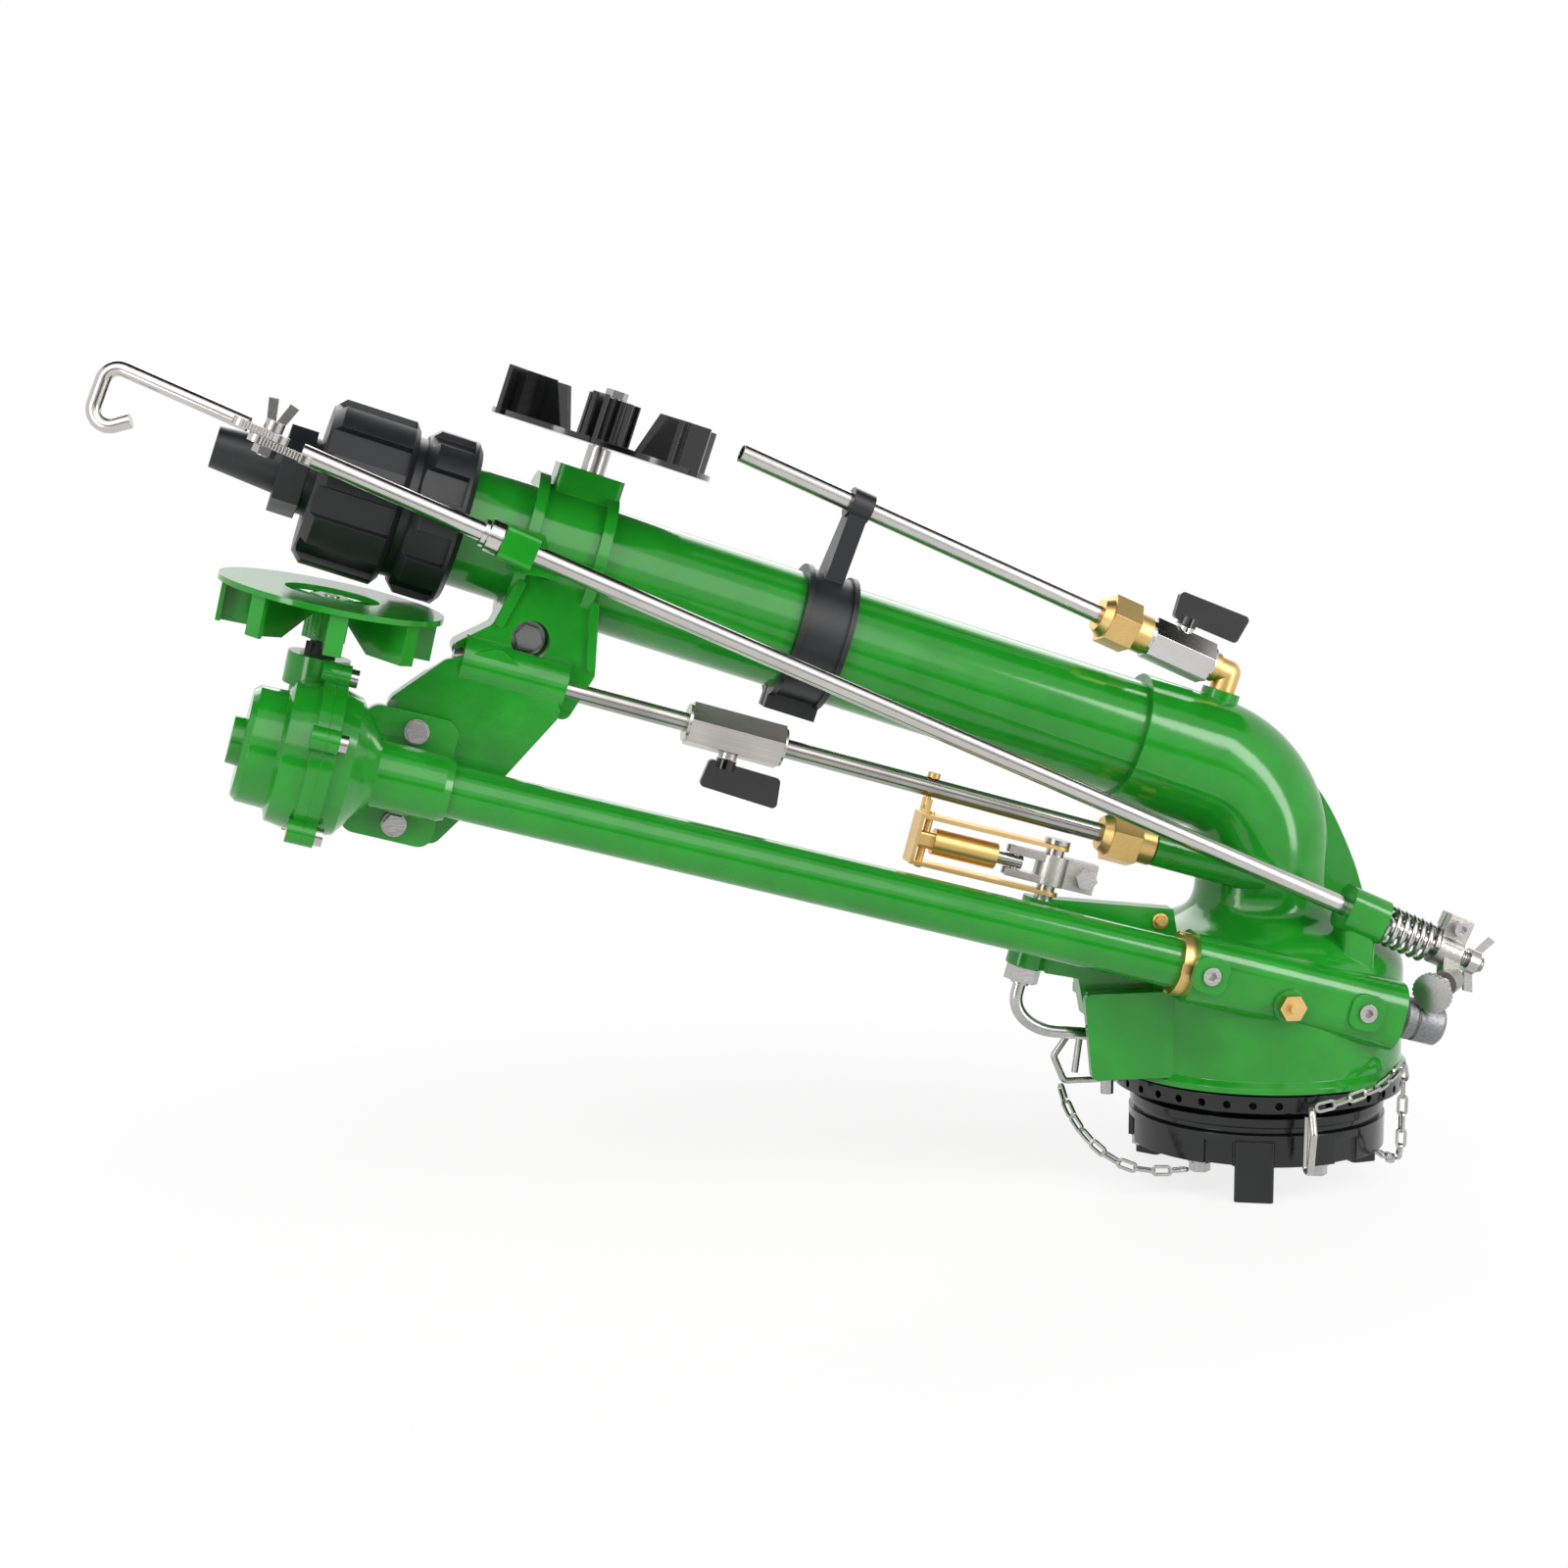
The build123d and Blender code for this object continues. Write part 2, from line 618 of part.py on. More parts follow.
export_step(gearbox_rear.part, "parts/gearbox_rear.step")

# Gearbox front cover: screw flange, round cap, end boss and the turbine shaft tower
with BuildPart() as gearbox_front:
    with BuildSketch(drive):
        with BuildLine():
            Polyline((gearbox_split, 0), (gearbox_split, 40), (535, 40), (535, 37.5), (548, 35.5), (550, 30))
            Polyline((550, 30), (564, 29.5), (567, 27), (567, 12.5), (573, 12), (573, 0), (gearbox_split, 0))
        make_face()
    revolve(axis=Axis(drive.origin, drive.x_dir))
    with BuildSketch(across(drive, gearbox_split)):
        with PolarLocations(screw_circle_r, screw_count, start_angle=screw_turn):
            Circle(6)
    extrude(amount=8)
    with BuildSketch(turbine.offset(-44)):
        Circle(12)
    extrude(amount=30)
    with BuildSketch(turbine.offset(-16)):
        Circle(16)
    extrude(amount=16)
    with BuildSketch(drive):
        with BuildLine():
            Polyline((gearbox_split - 1, 0), (gearbox_split - 1, 31), (544, 30), (560, 25), (560, 0), (gearbox_split - 1, 0))
        make_face()
    revolve(axis=Axis(drive.origin, drive.x_dir), mode=Mode.SUBTRACT)
    with BuildSketch(turbine.offset(-70)):
        Circle(8.2)
    extrude(amount=56, mode=Mode.SUBTRACT)
    with BuildSketch(turbine.offset(-20)):
        Circle(turbine_shaft_r + running_gap)
    extrude(amount=30, mode=Mode.SUBTRACT)
    with BuildSketch(across(drive, gearbox_split)):
        Circle(41)
    extrude(amount=-20, mode=Mode.SUBTRACT)
    with BuildSketch(across(drive, 555)):
        Circle(shaft_r + running_gap)
    extrude(amount=14, mode=Mode.SUBTRACT)
    with BuildSketch(across(drive, 520)):
        with PolarLocations(screw_circle_r, screw_count, start_angle=screw_turn):
            Circle(2)
    extrude(amount=30, mode=Mode.SUBTRACT)
gearbox_front.part.label = "gearbox_front"
export_step(gearbox_front.part, "parts/gearbox_front.step")

# Grease plug of the worm housing
with BuildPart() as grease_plug:
    with BuildSketch(facing(drive, 9.6, -6, -housing_r - 2)):
        Circle(3.5)
    extrude(amount=-9)
    with BuildSketch(facing(drive, 9.6, -6, -housing_r - 2)):
        RegularPolygon(7.4, 6, rotation=15)
    extrude(amount=5)
    with BuildSketch(facing(drive, 9.6, -6, -housing_r - 7)):
        Circle(2.6)
    extrude(amount=3)
grease_plug.part.label = "grease_plug"
export_step(grease_plug.part, "parts/grease_plug.step")

# Socket screws: round the gearbox's parting line and in the pads of the worm housing
with BuildPart() as socket_screws:
    with BuildSketch(across(drive, 519)):
        with PolarLocations(screw_circle_r, screw_count, start_angle=screw_turn):
            Circle(2)
    extrude(amount=18)
    with BuildSketch(across(drive, 519)):
        with PolarLocations(screw_circle_r, screw_count, start_angle=screw_turn):
            Circle(4.6)
    extrude(amount=4)
    with BuildSketch(across(drive, 519)):
        with PolarLocations(screw_circle_r, screw_count, start_angle=screw_turn):
            RegularPolygon(2.2, 6)
    extrude(amount=2.4, mode=Mode.SUBTRACT)
    for pad_along in (56, -33):
        with BuildSketch(facing(drive, pad_along, 0, -housing_r - 1.5)):
            Circle(3)
        extrude(amount=-5)
        with BuildSketch(facing(drive, pad_along, 0, -housing_r - 1.5)):
            Circle(4.8)
        extrude(amount=1.6)
        with BuildSketch(facing(drive, pad_along, 0, -housing_r - 3.2)):
            RegularPolygon(2.6, 6)
        extrude(amount=-4, mode=Mode.SUBTRACT)
socket_screws.part.label = "socket_screws"
export_step(socket_screws.part, "parts/socket_screws.step")

# End cap behind the worm, and the two plain bushes of its shaft
with BuildPart() as end_cap:
    with BuildSketch(drive):
        with BuildLine():
            Polyline((-44.5, 0), (-44.5, tube_r), (housing_end, tube_r), (housing_end, 10), (housing_end - 4, 10))
            Polyline((housing_end - 4, 10), (housing_end - 6, cap_r), (-66, cap_r), (-67, cap_r - 0.8))
            Polyline((-67, cap_r - 0.8), (-68, cap_r), (-81, cap_r), (-83, cap_r - 2), (-83, 0), (-44.5, 0))
        make_face()
    revolve(axis=Axis(drive.origin, drive.x_dir))
end_cap.part.label = "end_cap"
export_step(end_cap.part, "parts/end_cap.step")

with BuildPart() as worm_bushes:
    for bush_start in (-44, 46):
        with BuildSketch(across(drive, bush_start)):
            Circle(tube_r)
            Circle(shaft_r + running_gap, mode=Mode.SUBTRACT)
        extrude(amount=9.5)
worm_bushes.part.label = "worm_bushes"
export_step(worm_bushes.part, "parts/worm_bushes.step")

# Drive shaft with the worm that walks round the fixed ring gear
worm_lead = worm_starts * 2 * math.pi * gear_pitch_r / gear_teeth / math.cos(math.radians(drive_angle))
thread_root_r = 7.6
thread_tip_r = 11.4
with BuildPart() as worm_shaft:
    with BuildSketch(across(drive, -44)):
        Circle(shaft_r)
    extrude(amount=44 + 562)
    with BuildSketch(across(drive, -22)):
        Circle(thread_root_r)
    extrude(amount=44)
    for start in range(worm_starts):
        section = across(drive, -21)
        turned = spun(section, 360 * start / worm_starts + worm_phase)
        with BuildLine(mode=Mode.PRIVATE) as thread_path:
            Helix(pitch=worm_lead, height=42, radius=thread_root_r, lefthand=True)
        thread_wire = turned.location * thread_path.wires()[0]
        out = (thread_wire @ 0 - section.origin).normalized()
        with BuildSketch(Plane(origin=thread_wire @ 0, x_dir=out, z_dir=thread_wire % 0)):
            with BuildLine():
                Polyline((-1, -1.9), (thread_tip_r - thread_root_r, -0.9), (thread_tip_r - thread_root_r, 0.9), (-1, 1.9), (-1, -1.9))
            make_face()
        sweep(path=thread_wire, is_frenet=True)
worm_shaft.part.label = "worm_shaft"
export_step(worm_shaft.part, "parts/worm_shaft.step")

# Worm wheel of the gearbox, keyed on the drive shaft
box_wheel_r = 18.0
with BuildPart() as gearbox_wheel:
    with BuildSketch(across(drive, 533)):
        Circle(box_wheel_r)
        with PolarLocations(box_wheel_r, 20):
            Rectangle(2.4, 2.2)
        Circle(shaft_r, mode=Mode.SUBTRACT)
    extrude(amount=12)
gearbox_wheel.part.label = "gearbox_wheel"
export_step(gearbox_wheel.part, "parts/gearbox_wheel.step")

# Turbine shaft with its small worm, and the ribbed rubber seal on the tower
with BuildPart() as turbine_shaft:
    with BuildSketch(turbine.offset(-67)):
        Circle(turbine_shaft_r)
    extrude(amount=67 + 31)
    with BuildSketch(turbine.offset(-62)):
        Circle(6.4)
        with PolarLocations(6.4, 8):
            Circle(0.9, mode=Mode.SUBTRACT)
    extrude(amount=26)
turbine_shaft.part.label = "turbine_shaft"
export_step(turbine_shaft.part, "parts/turbine_shaft.step")

with BuildPart() as shaft_seal:
    with BuildSketch(turbine):
        Circle(8)
    extrude(amount=7.2, taper=18)
    with BuildSketch(turbine):
        with PolarLocations(6.4, 8):
            Rectangle(3, 1.4)
    extrude(amount=6)
    with BuildSketch(turbine.offset(-1)):
        Circle(turbine_shaft_r + running_gap)
    extrude(amount=12, mode=Mode.SUBTRACT)
shaft_seal.part.label = "shaft_seal"
export_step(shaft_seal.part, "parts/shaft_seal.step")

# Turbine wheel: rim disc on top, hanging vanes with sloped inner edges and a fluted hub
wheel_top = 31.5
vane_low = 8.0
with BuildPart() as turbine_wheel:
    with BuildSketch(turbine.offset(wheel_top - 3)):
        Circle(wheel_r)
        Circle(24, mode=Mode.SUBTRACT)
    extrude(amount=3)
    with BuildSketch(turbine.offset(vane_low)):
        with PolarLocations(wheel_r / 2 + 3, 8):
            Rectangle(wheel_r - 12, 2.6)
        with PolarLocations(wheel_r - 4, 8):
            with Locations((0, 3.2)):
                Rectangle(2.6, 9)
    extrude(amount=wheel_top - 3 - vane_low)
    with BuildSketch(Plane(origin=turbine.origin, x_dir=turbine.x_dir, z_dir=-turbine.y_dir)):
        with BuildLine():
            Polyline((0, 0), (31, 0), (31, vane_low), (12, wheel_top - 10), (0, wheel_top - 10), (0, 0))
        make_face()
    revolve(axis=Axis(turbine.origin, turbine_up), mode=Mode.SUBTRACT)
    with BuildSketch(turbine.offset(vane_low)):
        Circle(9)
        with PolarLocations(9, 6):
            Circle(2)
        Circle(turbine_shaft_r, mode=Mode.SUBTRACT)
    extrude(amount=wheel_top - 1 - vane_low)
    with BuildSketch(turbine.offset(vane_low)):
        Circle(turbine_shaft_r)
    extrude(amount=40, mode=Mode.SUBTRACT)
turbine_wheel.part.label = "turbine_wheel"
export_step(turbine_wheel.part, "parts/turbine_wheel.step")

# Splash wheel: disc with folded vanes standing on it and a fluted hub, free on its shoulder screw
splash_low = 60.4
splash_high = 86.0
with BuildPart() as splash_wheel:
    with BuildSketch(upward(barrel, 401, splash_low)):
        Circle(splash_r)
    extrude(amount=3)
    with BuildSketch(upward(barrel, 401, splash_low)):
        with PolarLocations(38, 6, start_angle=12):
            Rectangle(30, 2.6)
        with PolarLocations(52, 6, start_angle=12):
            with Locations(Location((2, 3, 0), 35)):
                Rectangle(17, 2.6)
    extrude(amount=splash_high - splash_low)
    with BuildSketch(barrel):
        with BuildLine():
            Polyline((401, splash_low + 3), (401 + 24, splash_low + 3), (401 + 33, splash_high), (401, splash_high))
            Line((401, splash_high), (401, splash_low + 3))
        make_face()
    revolve(axis=Axis(barrel.from_local_coords((401, 0, 0)), barrel.y_dir), mode=Mode.SUBTRACT)
    with BuildSketch(upward(barrel, 401, splash_low)):
        Circle(11)
        with PolarLocations(11, 6):
            RectangleRounded(6, 5, 1)
    extrude(amount=splash_high - splash_low)
    with BuildSketch(upward(barrel, 401, splash_low)):
        Circle(pivot_r + running_gap)
    extrude(amount=40, mode=Mode.SUBTRACT)
splash_wheel.part.label = "splash_wheel"
export_step(splash_wheel.part, "parts/splash_wheel.step")

with BuildPart() as wheel_stud:
    with BuildSketch(upward(barrel, 401, 37)):
        Circle(pivot_r)
    extrude(amount=50)
    with BuildSketch(upward(barrel, 401, 46.5)):
        Circle(6.3)
    extrude(amount=13.4)
    with BuildSketch(upward(barrel, 401, 86.5)):
        RegularPolygon(6, 6)
    extrude(amount=4)
wheel_stud.part.label = "wheel_stud"
export_step(wheel_stud.part, "parts/wheel_stud.step")

# Upper feed: brass elbow, hex valve, open tube and the strap that carries it
with BuildPart() as brass_elbow:
    with BuildSketch(upward(barrel, 39, 30)):
        Circle(3)
    extrude(amount=12)
    with BuildSketch(upward(barrel, 39, 40)):
        Circle(7)
    extrude(amount=10)
    with Locations(feed_corner):
        Sphere(7)
    with BuildSketch(across(top_feed, 0)):
        Circle(7)
    extrude(amount=11)
    with BuildSketch(across(top_feed, 8)):
        Circle(8.2)
    extrude(amount=4)
    with BuildSketch(across(top_feed, 0)):
        Circle(3)
    extrude(amount=14, mode=Mode.SUBTRACT)
brass_elbow.part.label = "brass_elbow"
export_step(brass_elbow.part, "parts/brass_elbow.step")

for valve_name, line, start, length, stem_along, stem_side in (
    ("upper_valve", top_feed, 12, 40, 33, 1),
    ("lower_valve", low_feed, 282, 53, 309, -1),
):
    with BuildPart() as valve_body:
        with BuildSketch(across(line, start + 1.5)):
            RegularPolygon(hex_valve_r, 6, rotation=15)
        extrude(amount=length - 3)
        with BuildSketch(across(line, start)):
            Circle(hex_valve_r - 2.2)
        extrude(amount=length)
        with BuildSketch(upward(line, stem_along, 0)):
            Circle(5)
        extrude(amount=stem_side * 13)
        with BuildSketch(across(line, start)):
            Circle(feed_r)
        extrude(amount=length, mode=Mode.SUBTRACT)
        with BuildSketch(upward(line, stem_along, 0)):
            Circle(2.5 + running_gap)
        extrude(amount=stem_side * 20, mode=Mode.SUBTRACT)
    valve_body.part.label = valve_name
    export_step(valve_body.part, "parts/" + valve_name + ".step")
    with BuildPart() as valve_handle:
        with BuildSketch(upward(line, stem_along, stem_side * 6)):
            Circle(2.5)
        extrude(amount=stem_side * 12)
        with BuildSketch(upward(line, stem_along, stem_side * 13.4)):
            Circle(5.4)
        extrude(amount=stem_side * 5)
        with BuildSketch(Plane(line.from_local_coords((stem_along, 0, -2)), line.x_dir, line.z_dir)) as blade:
            with BuildLine():
                Polyline((9, stem_side * 15), (11, stem_side * 30), (-32, stem_side * 32), (-30, stem_side * 16), close=True)
            make_face()
            fillet(blade.vertices(), radius=2.5)
        extrude(amount=4)
    valve_handle.part.label = valve_name + "_handle"
    export_step(valve_handle.part, "parts/" + valve_name + "_handle.step")

with BuildPart() as compression_nuts:
    for line, start in ((top_feed, 52.2), (low_feed, 75)):
        with BuildSketch(across(line, start)):
            Circle(10.5)
        extrude(amount=9)
        with BuildSketch(across(line, start + 9)):
            RegularPolygon(14.5, 6, rotation=15)
        extrude(amount=16)
        with BuildSketch(across(line, start + 25)):
            Circle(11.5)
        extrude(amount=4.5, taper=30)
        with BuildSketch(across(line, start - 1)):
            Circle(feed_r + running_gap)
        extrude(amount=40, mode=Mode.SUBTRACT)
compression_nuts.part.label = "compression_nuts"
export_step(compression_nuts.part, "parts/compression_nuts.step")

with BuildPart() as upper_tube:
    with BuildSketch(across(top_feed, 30)):
        Circle(feed_r)
        Circle(feed_r - 1, mode=Mode.SUBTRACT)
    extrude(amount=266)
upper_tube.part.label = "upper_tube"
export_step(upper_tube.part, "parts/upper_tube.step")

strap_point = top_feed.from_local_coords((227, 0, 0))
strap_local = barrel.to_local_coords(strap_point)
strap_along = strap_local.X
strap_up = strap_local.Y
with BuildPart() as tube_strap:
    with BuildSketch(across(barrel, strap_along - 14)):
        Circle(barrel_r + 3)
        with Locations((0, -barrel_r - 4)):
            Rectangle(17, 13)
    extrude(amount=28)
    for edge_start in (strap_along - 14, strap_along + 11):
        with BuildSketch(across(barrel, edge_start)):
            Circle(barrel_r + 4.5)
        extrude(amount=3)
    with BuildSketch(across(barrel, strap_along - 5)):
        with BuildLine():
            Polyline((-12, 30), (-strap_local.Z - 7, strap_up), (-strap_local.Z + 7, strap_up), (14, 30), (-12, 30))
        make_face()
    extrude(amount=10)
    with BuildSketch(across(top_feed, 221)):
        Circle(8.2)
    extrude(amount=12)
    with BuildSketch(across(barrel, strap_along - 20)):
        Circle(barrel_r)
    extrude(amount=40, mode=Mode.SUBTRACT)
    with BuildSketch(across(barrel, strap_along - 20, -barrel_r - 6)):
        Rectangle(3, 24)
    extrude(amount=40, mode=Mode.SUBTRACT)
    with BuildSketch(across(top_feed, 200)):
        Circle(feed_r)
    extrude(amount=50, mode=Mode.SUBTRACT)
tube_strap.part.label = "tube_strap"
export_step(tube_strap.part, "parts/tube_strap.step")

# Lower feed line: it turns about its own axis in the throat boss and the bracket
pin_point = trip.to_local_coords(low_feed.from_local_coords((200, 0, 0)))
pin_along = pin_point.X
tube_up = pin_point.Y
with BuildPart() as feed_tubes:
    for tube_from, tube_to in ((40, 302), (315, 449)):
        with BuildSketch(across(low_feed, tube_from)):
            Circle(feed_r)
            Circle(feed_r - 1, mode=Mode.SUBTRACT)
        extrude(amount=tube_to - tube_from)
    with BuildSketch(upward(trip, pin_along, tube_up - 9.8)):
        Circle(1.5)
    extrude(amount=18, mode=Mode.SUBTRACT)
feed_tubes.part.label = "feed_tubes"
export_step(feed_tubes.part, "parts/feed_tubes.step")

with BuildPart() as drive_nozzle:
    with BuildSketch(across(low_feed, 441)):
        Circle(7.6)
    extrude(amount=13)
    with BuildSketch(across(low_feed, 454)):
        Circle(7.6)
    extrude(amount=6, taper=20)
    with BuildSketch(across(low_feed, 440)):
        Circle(feed_r)
    extrude(amount=9, mode=Mode.SUBTRACT)
    with BuildSketch(across(low_feed, 448)):
        Circle(2.2)
    extrude(amount=20, mode=Mode.SUBTRACT)
drive_nozzle.part.label = "drive_nozzle"
export_step(drive_nozzle.part, "parts/drive_nozzle.step")

# Pin through the feed tube that the toggle frame pushes from side to side
with BuildPart() as feed_pin:
    with BuildSketch(upward(trip, pin_along, tube_up - 9.8)):
        Circle(1.5)
    extrude(amount=16)
    with BuildSketch(upward(trip, pin_along, tube_up + feed_r + 0.2)):
        Circle(3.4)
    extrude(amount=2.6)
feed_pin.part.label = "feed_pin"
export_step(feed_pin.part, "parts/feed_pin.step")

# Toggle frame: brass channel on the trip shaft with a forked tab round the pin
trip_r = 5.0
arm_low = 21.5
arm_high = 46.5
plate = 2.2
with BuildPart() as toggle_frame:
    for arm_up in (arm_low, arm_high):
        with BuildSketch(upward(trip, 0, arm_up)):
            with BuildLine():
                Polyline((0, 7), (60, 8.5), (pin_along + 3, 8.5), (pin_along + 3, -8.5), (60, -8.5), (0, -7), (0, 7))
            make_face()
            Circle(7)
            Circle(trip_r + running_gap, mode=Mode.SUBTRACT)
            with Locations((71, 0)):
                Circle(2 + running_gap, mode=Mode.SUBTRACT)
        extrude(amount=plate)
    with BuildSketch(across(trip, pin_along + 1)):
        with Locations((0, (arm_low + arm_high + plate) / 2)):
            Rectangle(17, arm_high + plate - arm_low)
    extrude(amount=2)
    with BuildSketch(across(trip, pin_along - 1)):
        with Locations((0, arm_high + plate / 2 + 4)):
            Rectangle(15, 10)
        with Locations((0, arm_high + plate + 5.3)):
            Rectangle(6, 7, mode=Mode.SUBTRACT)
    extrude(amount=2)
toggle_frame.part.label = "toggle_frame"
export_step(toggle_frame.part, "parts/toggle_frame.step")

# Spring cartridge with its pivot pin, the plunger and the spring inside
cart_up = 35.0
with BuildPart() as spring_cartridge:
    with BuildSketch(across(trip, 31.5, cart_up)):
        Circle(7)
    extrude(amount=35)
    with BuildSketch(across(trip, 66, cart_up)):
        RectangleRounded(7, 9, 2)
    extrude(amount=8.5)
    with BuildSketch(upward(trip, 71, arm_low - 1.5)):
        Circle(2)
    extrude(amount=arm_high + plate - arm_low + 3)
    with BuildSketch(across(trip, 30, cart_up)):
        Circle(3.5)
    extrude(amount=20, mode=Mode.SUBTRACT)
    with BuildSketch(across(trip, 34, cart_up)):
        Circle(5.4)
    extrude(amount=29, mode=Mode.SUBTRACT)
spring_cartridge.part.label = "spring_cartridge"
export_step(spring_cartridge.part, "parts/spring_cartridge.step")

with BuildPart() as plunger:
    with BuildSketch(across(trip, 16.5, cart_up)):
        Circle(3.5)
    extrude(amount=22)
    with BuildSketch(across(trip, 35, cart_up)):
        Circle(5.2)
    extrude(amount=3.5)
    with BuildSketch(upward(trip, 20, cart_up - 8)):
        Circle(2)
    extrude(amount=16)
plunger.part.label = "plunger"
export_step(plunger.part, "parts/plunger.step")

with BuildPart() as toggle_spring:
    with BuildLine(mode=Mode.PRIVATE) as coil:
        Helix(pitch=3.8, height=20.9, radius=4.4)
    coil_wire = across(trip, 40.3, cart_up).location * coil.wires()[0]
    with BuildSketch(Plane(origin=coil_wire @ 0, z_dir=coil_wire % 0)):
        Circle(0.6)
    sweep(path=coil_wire, is_frenet=True)
toggle_spring.part.label = "toggle_spring"
export_step(toggle_spring.part, "parts/toggle_spring.step")

# Trip fork clamped on the trip shaft, its bolt, the shaft with the bent rod, and the nut under the boss
with BuildPart() as trip_fork:
    with BuildSketch(upward(trip, 0, 27)):
        Circle(9)
        with Locations((-14, 0)):
            Rectangle(20, 11)
    extrude(amount=16)
    for prong_up in (27, 39):
        with BuildSketch(upward(trip, 0, prong_up)):
            with BuildLine():
                Polyline((0, 7.5), (25, 4.6), (25, -4.6), (0, -7.5), (0, 7.5))
            make_face()
            with Locations((21.5, 0)):
                Rectangle(8, 4.3, mode=Mode.SUBTRACT)
        extrude(amount=4)
    with BuildSketch(upward(trip, 0, 26)):
        Circle(trip_r)
        with Locations((-16, 0)):
            Rectangle(20, 1.4)
    extrude(amount=20, mode=Mode.SUBTRACT)
    with BuildSketch(facing(trip, -18, cart_up, -12)):
        Circle(3)
    extrude(amount=-24, mode=Mode.SUBTRACT)
trip_fork.part.label = "trip_fork"
export_step(trip_fork.part, "parts/trip_fork.step")

with BuildPart() as fork_bolt:
    with BuildSketch(facing(trip, -18, cart_up, -5.5)):
        Circle(3)
    extrude(amount=-15)
    with BuildSketch(facing(trip, -18, cart_up, -5.5)):
        RegularPolygon(6, 6)
    extrude(amount=4.5)
    with BuildSketch(facing(trip, -18, cart_up, 5.5)):
        RegularPolygon(6, 6)
    extrude(amount=-4)
fork_bolt.part.label = "fork_bolt"
export_step(fork_bolt.part, "parts/fork_bolt.step")

with BuildPart() as trip_rod:
    with BuildSketch(upward(trip, 0, -28)):
        Circle(trip_r)
    extrude(amount=28 + 49)
    with BuildSketch(upward(trip, 0, 49)):
        Circle(7)
    extrude(amount=2.6)
    rod_top = trip.from_local_coords((0, -26, 0))
    with BuildLine() as bent:
        first = Line(rod_top, trip.from_local_coords((0, -33, 0)))
        turn = Spline(first @ 1, (-130, feed_y, 72.5), (-118, feed_y, 70.5), tangents=(-trip.y_dir, (1, 0, -0.12)))
        run = Line(turn @ 1, (-102, feed_y + 1, 68.6))
        drop = Spline(run @ 1, (-93, feed_y + 4, 60), tangents=((1, 0, -0.12), (0, 0, -1)))
        Line(drop @ 1, (-93, feed_y + 4, 35))
    bent_wire = bent.wires()[0]
    with BuildSketch(Plane(origin=bent_wire @ 0, z_dir=bent_wire % 0)):
        Circle(3.5)
    sweep(path=bent_wire)
trip_rod.part.label = "trip_rod"
export_step(trip_rod.part, "parts/trip_rod.step")

with BuildPart() as trip_nut:
    with BuildSketch(upward(trip, 0, -26.5)):
        RegularPolygon(9.6, 6)
        Circle(trip_r, mode=Mode.SUBTRACT)
    extrude(amount=8)
trip_nut.part.label = "trip_nut"
export_step(trip_nut.part, "parts/trip_nut.step")

# Jet breaker rod with a flattened front end and a thinner threaded rear end
joint_along = 582.0
with BuildPart() as breaker_rod:
    with BuildSketch(across(rod, -101)):
        Circle(rod_r)
    extrude(amount=101 + 565)
    with BuildSketch(across(rod, -115)):
        Circle(4)
    extrude(amount=15)
    with BuildSketch(upward(rod, 575, -4.2)):
        RectangleRounded(34, 13, 5)
    extrude(amount=4)
    with BuildSketch(upward(rod, joint_along, -8)):
        Circle(3)
    extrude(amount=12, mode=Mode.SUBTRACT)
breaker_rod.part.label = "breaker_rod"
export_step(breaker_rod.part, "parts/breaker_rod.step")

with BuildPart() as rod_collar:
    with BuildSketch(across(rod, 458.4)):
        Circle(8.6)
        Circle(rod_r, mode=Mode.SUBTRACT)
    extrude(amount=7)
    with BuildSketch(across(rod, 466)):
        Circle(7.4)
        Circle(rod_r, mode=Mode.SUBTRACT)
    extrude(amount=2.4)
rod_collar.part.label = "rod_collar"
export_step(rod_collar.part, "parts/rod_collar.step")

with BuildPart() as rod_spring:
    with BuildLine(mode=Mode.PRIVATE) as rod_coil:
        Helix(pitch=29.9 / 6, height=29.9, radius=9.9)
    rod_coil_wire = across(rod, -83.7).location * rod_coil.wires()[0]
    with BuildSketch(Plane(origin=rod_coil_wire @ 0, z_dir=rod_coil_wire % 0)):
        Circle(1.5)
    sweep(path=rod_coil_wire, is_frenet=True)
rod_spring.part.label = "rod_spring"
export_step(rod_spring.part, "parts/rod_spring.step")

# Lever clamped on the rod, with the arm that carries the foot screw
foot_point = Vector(84, -64, 98)
disc_point = Vector(70, -77, 94.5)
foot_dir = (disc_point - foot_point).normalized()
foot_plane = Plane(origin=foot_point, z_dir=foot_dir)
foot_local = rod.to_local_coords(foot_point)
with BuildPart() as rod_lever:
    with BuildSketch(across(rod, -99.5)):
        Circle(9.5)
        with Locations((0, 11)):
            Rectangle(13, 17)
    extrude(amount=14)
    with BuildSketch(Plane(origin=rod.from_local_coords((0, 0, -9)), x_dir=rod.x_dir, z_dir=rod.z_dir)):
        with BuildLine():
            Polyline((-98, 4), (-87, 4), (foot_local.X + 4, foot_local.Y), (foot_local.X - 5, foot_local.Y), (-98, 4))
        make_face()
    extrude(amount=9)
    with BuildSketch(foot_plane.offset(-4.5)):
        Circle(7)
    extrude(amount=9)
    with BuildSketch(across(rod, -110)):
        Circle(rod_r)
    extrude(amount=40, mode=Mode.SUBTRACT)
    with BuildSketch(across(rod, -110, 13)):
        Rectangle(1.6, 18)
    extrude(amount=40, mode=Mode.SUBTRACT)
    with BuildSketch(facing(rod, -92.5, 13.7, -12)):
        Circle(2.5)
    extrude(amount=-24, mode=Mode.SUBTRACT)
    with BuildSketch(foot_plane.offset(-10)):
        Circle(3)
    extrude(amount=20, mode=Mode.SUBTRACT)
rod_lever.part.label = "rod_lever"
export_step(rod_lever.part, "parts/rod_lever.step")

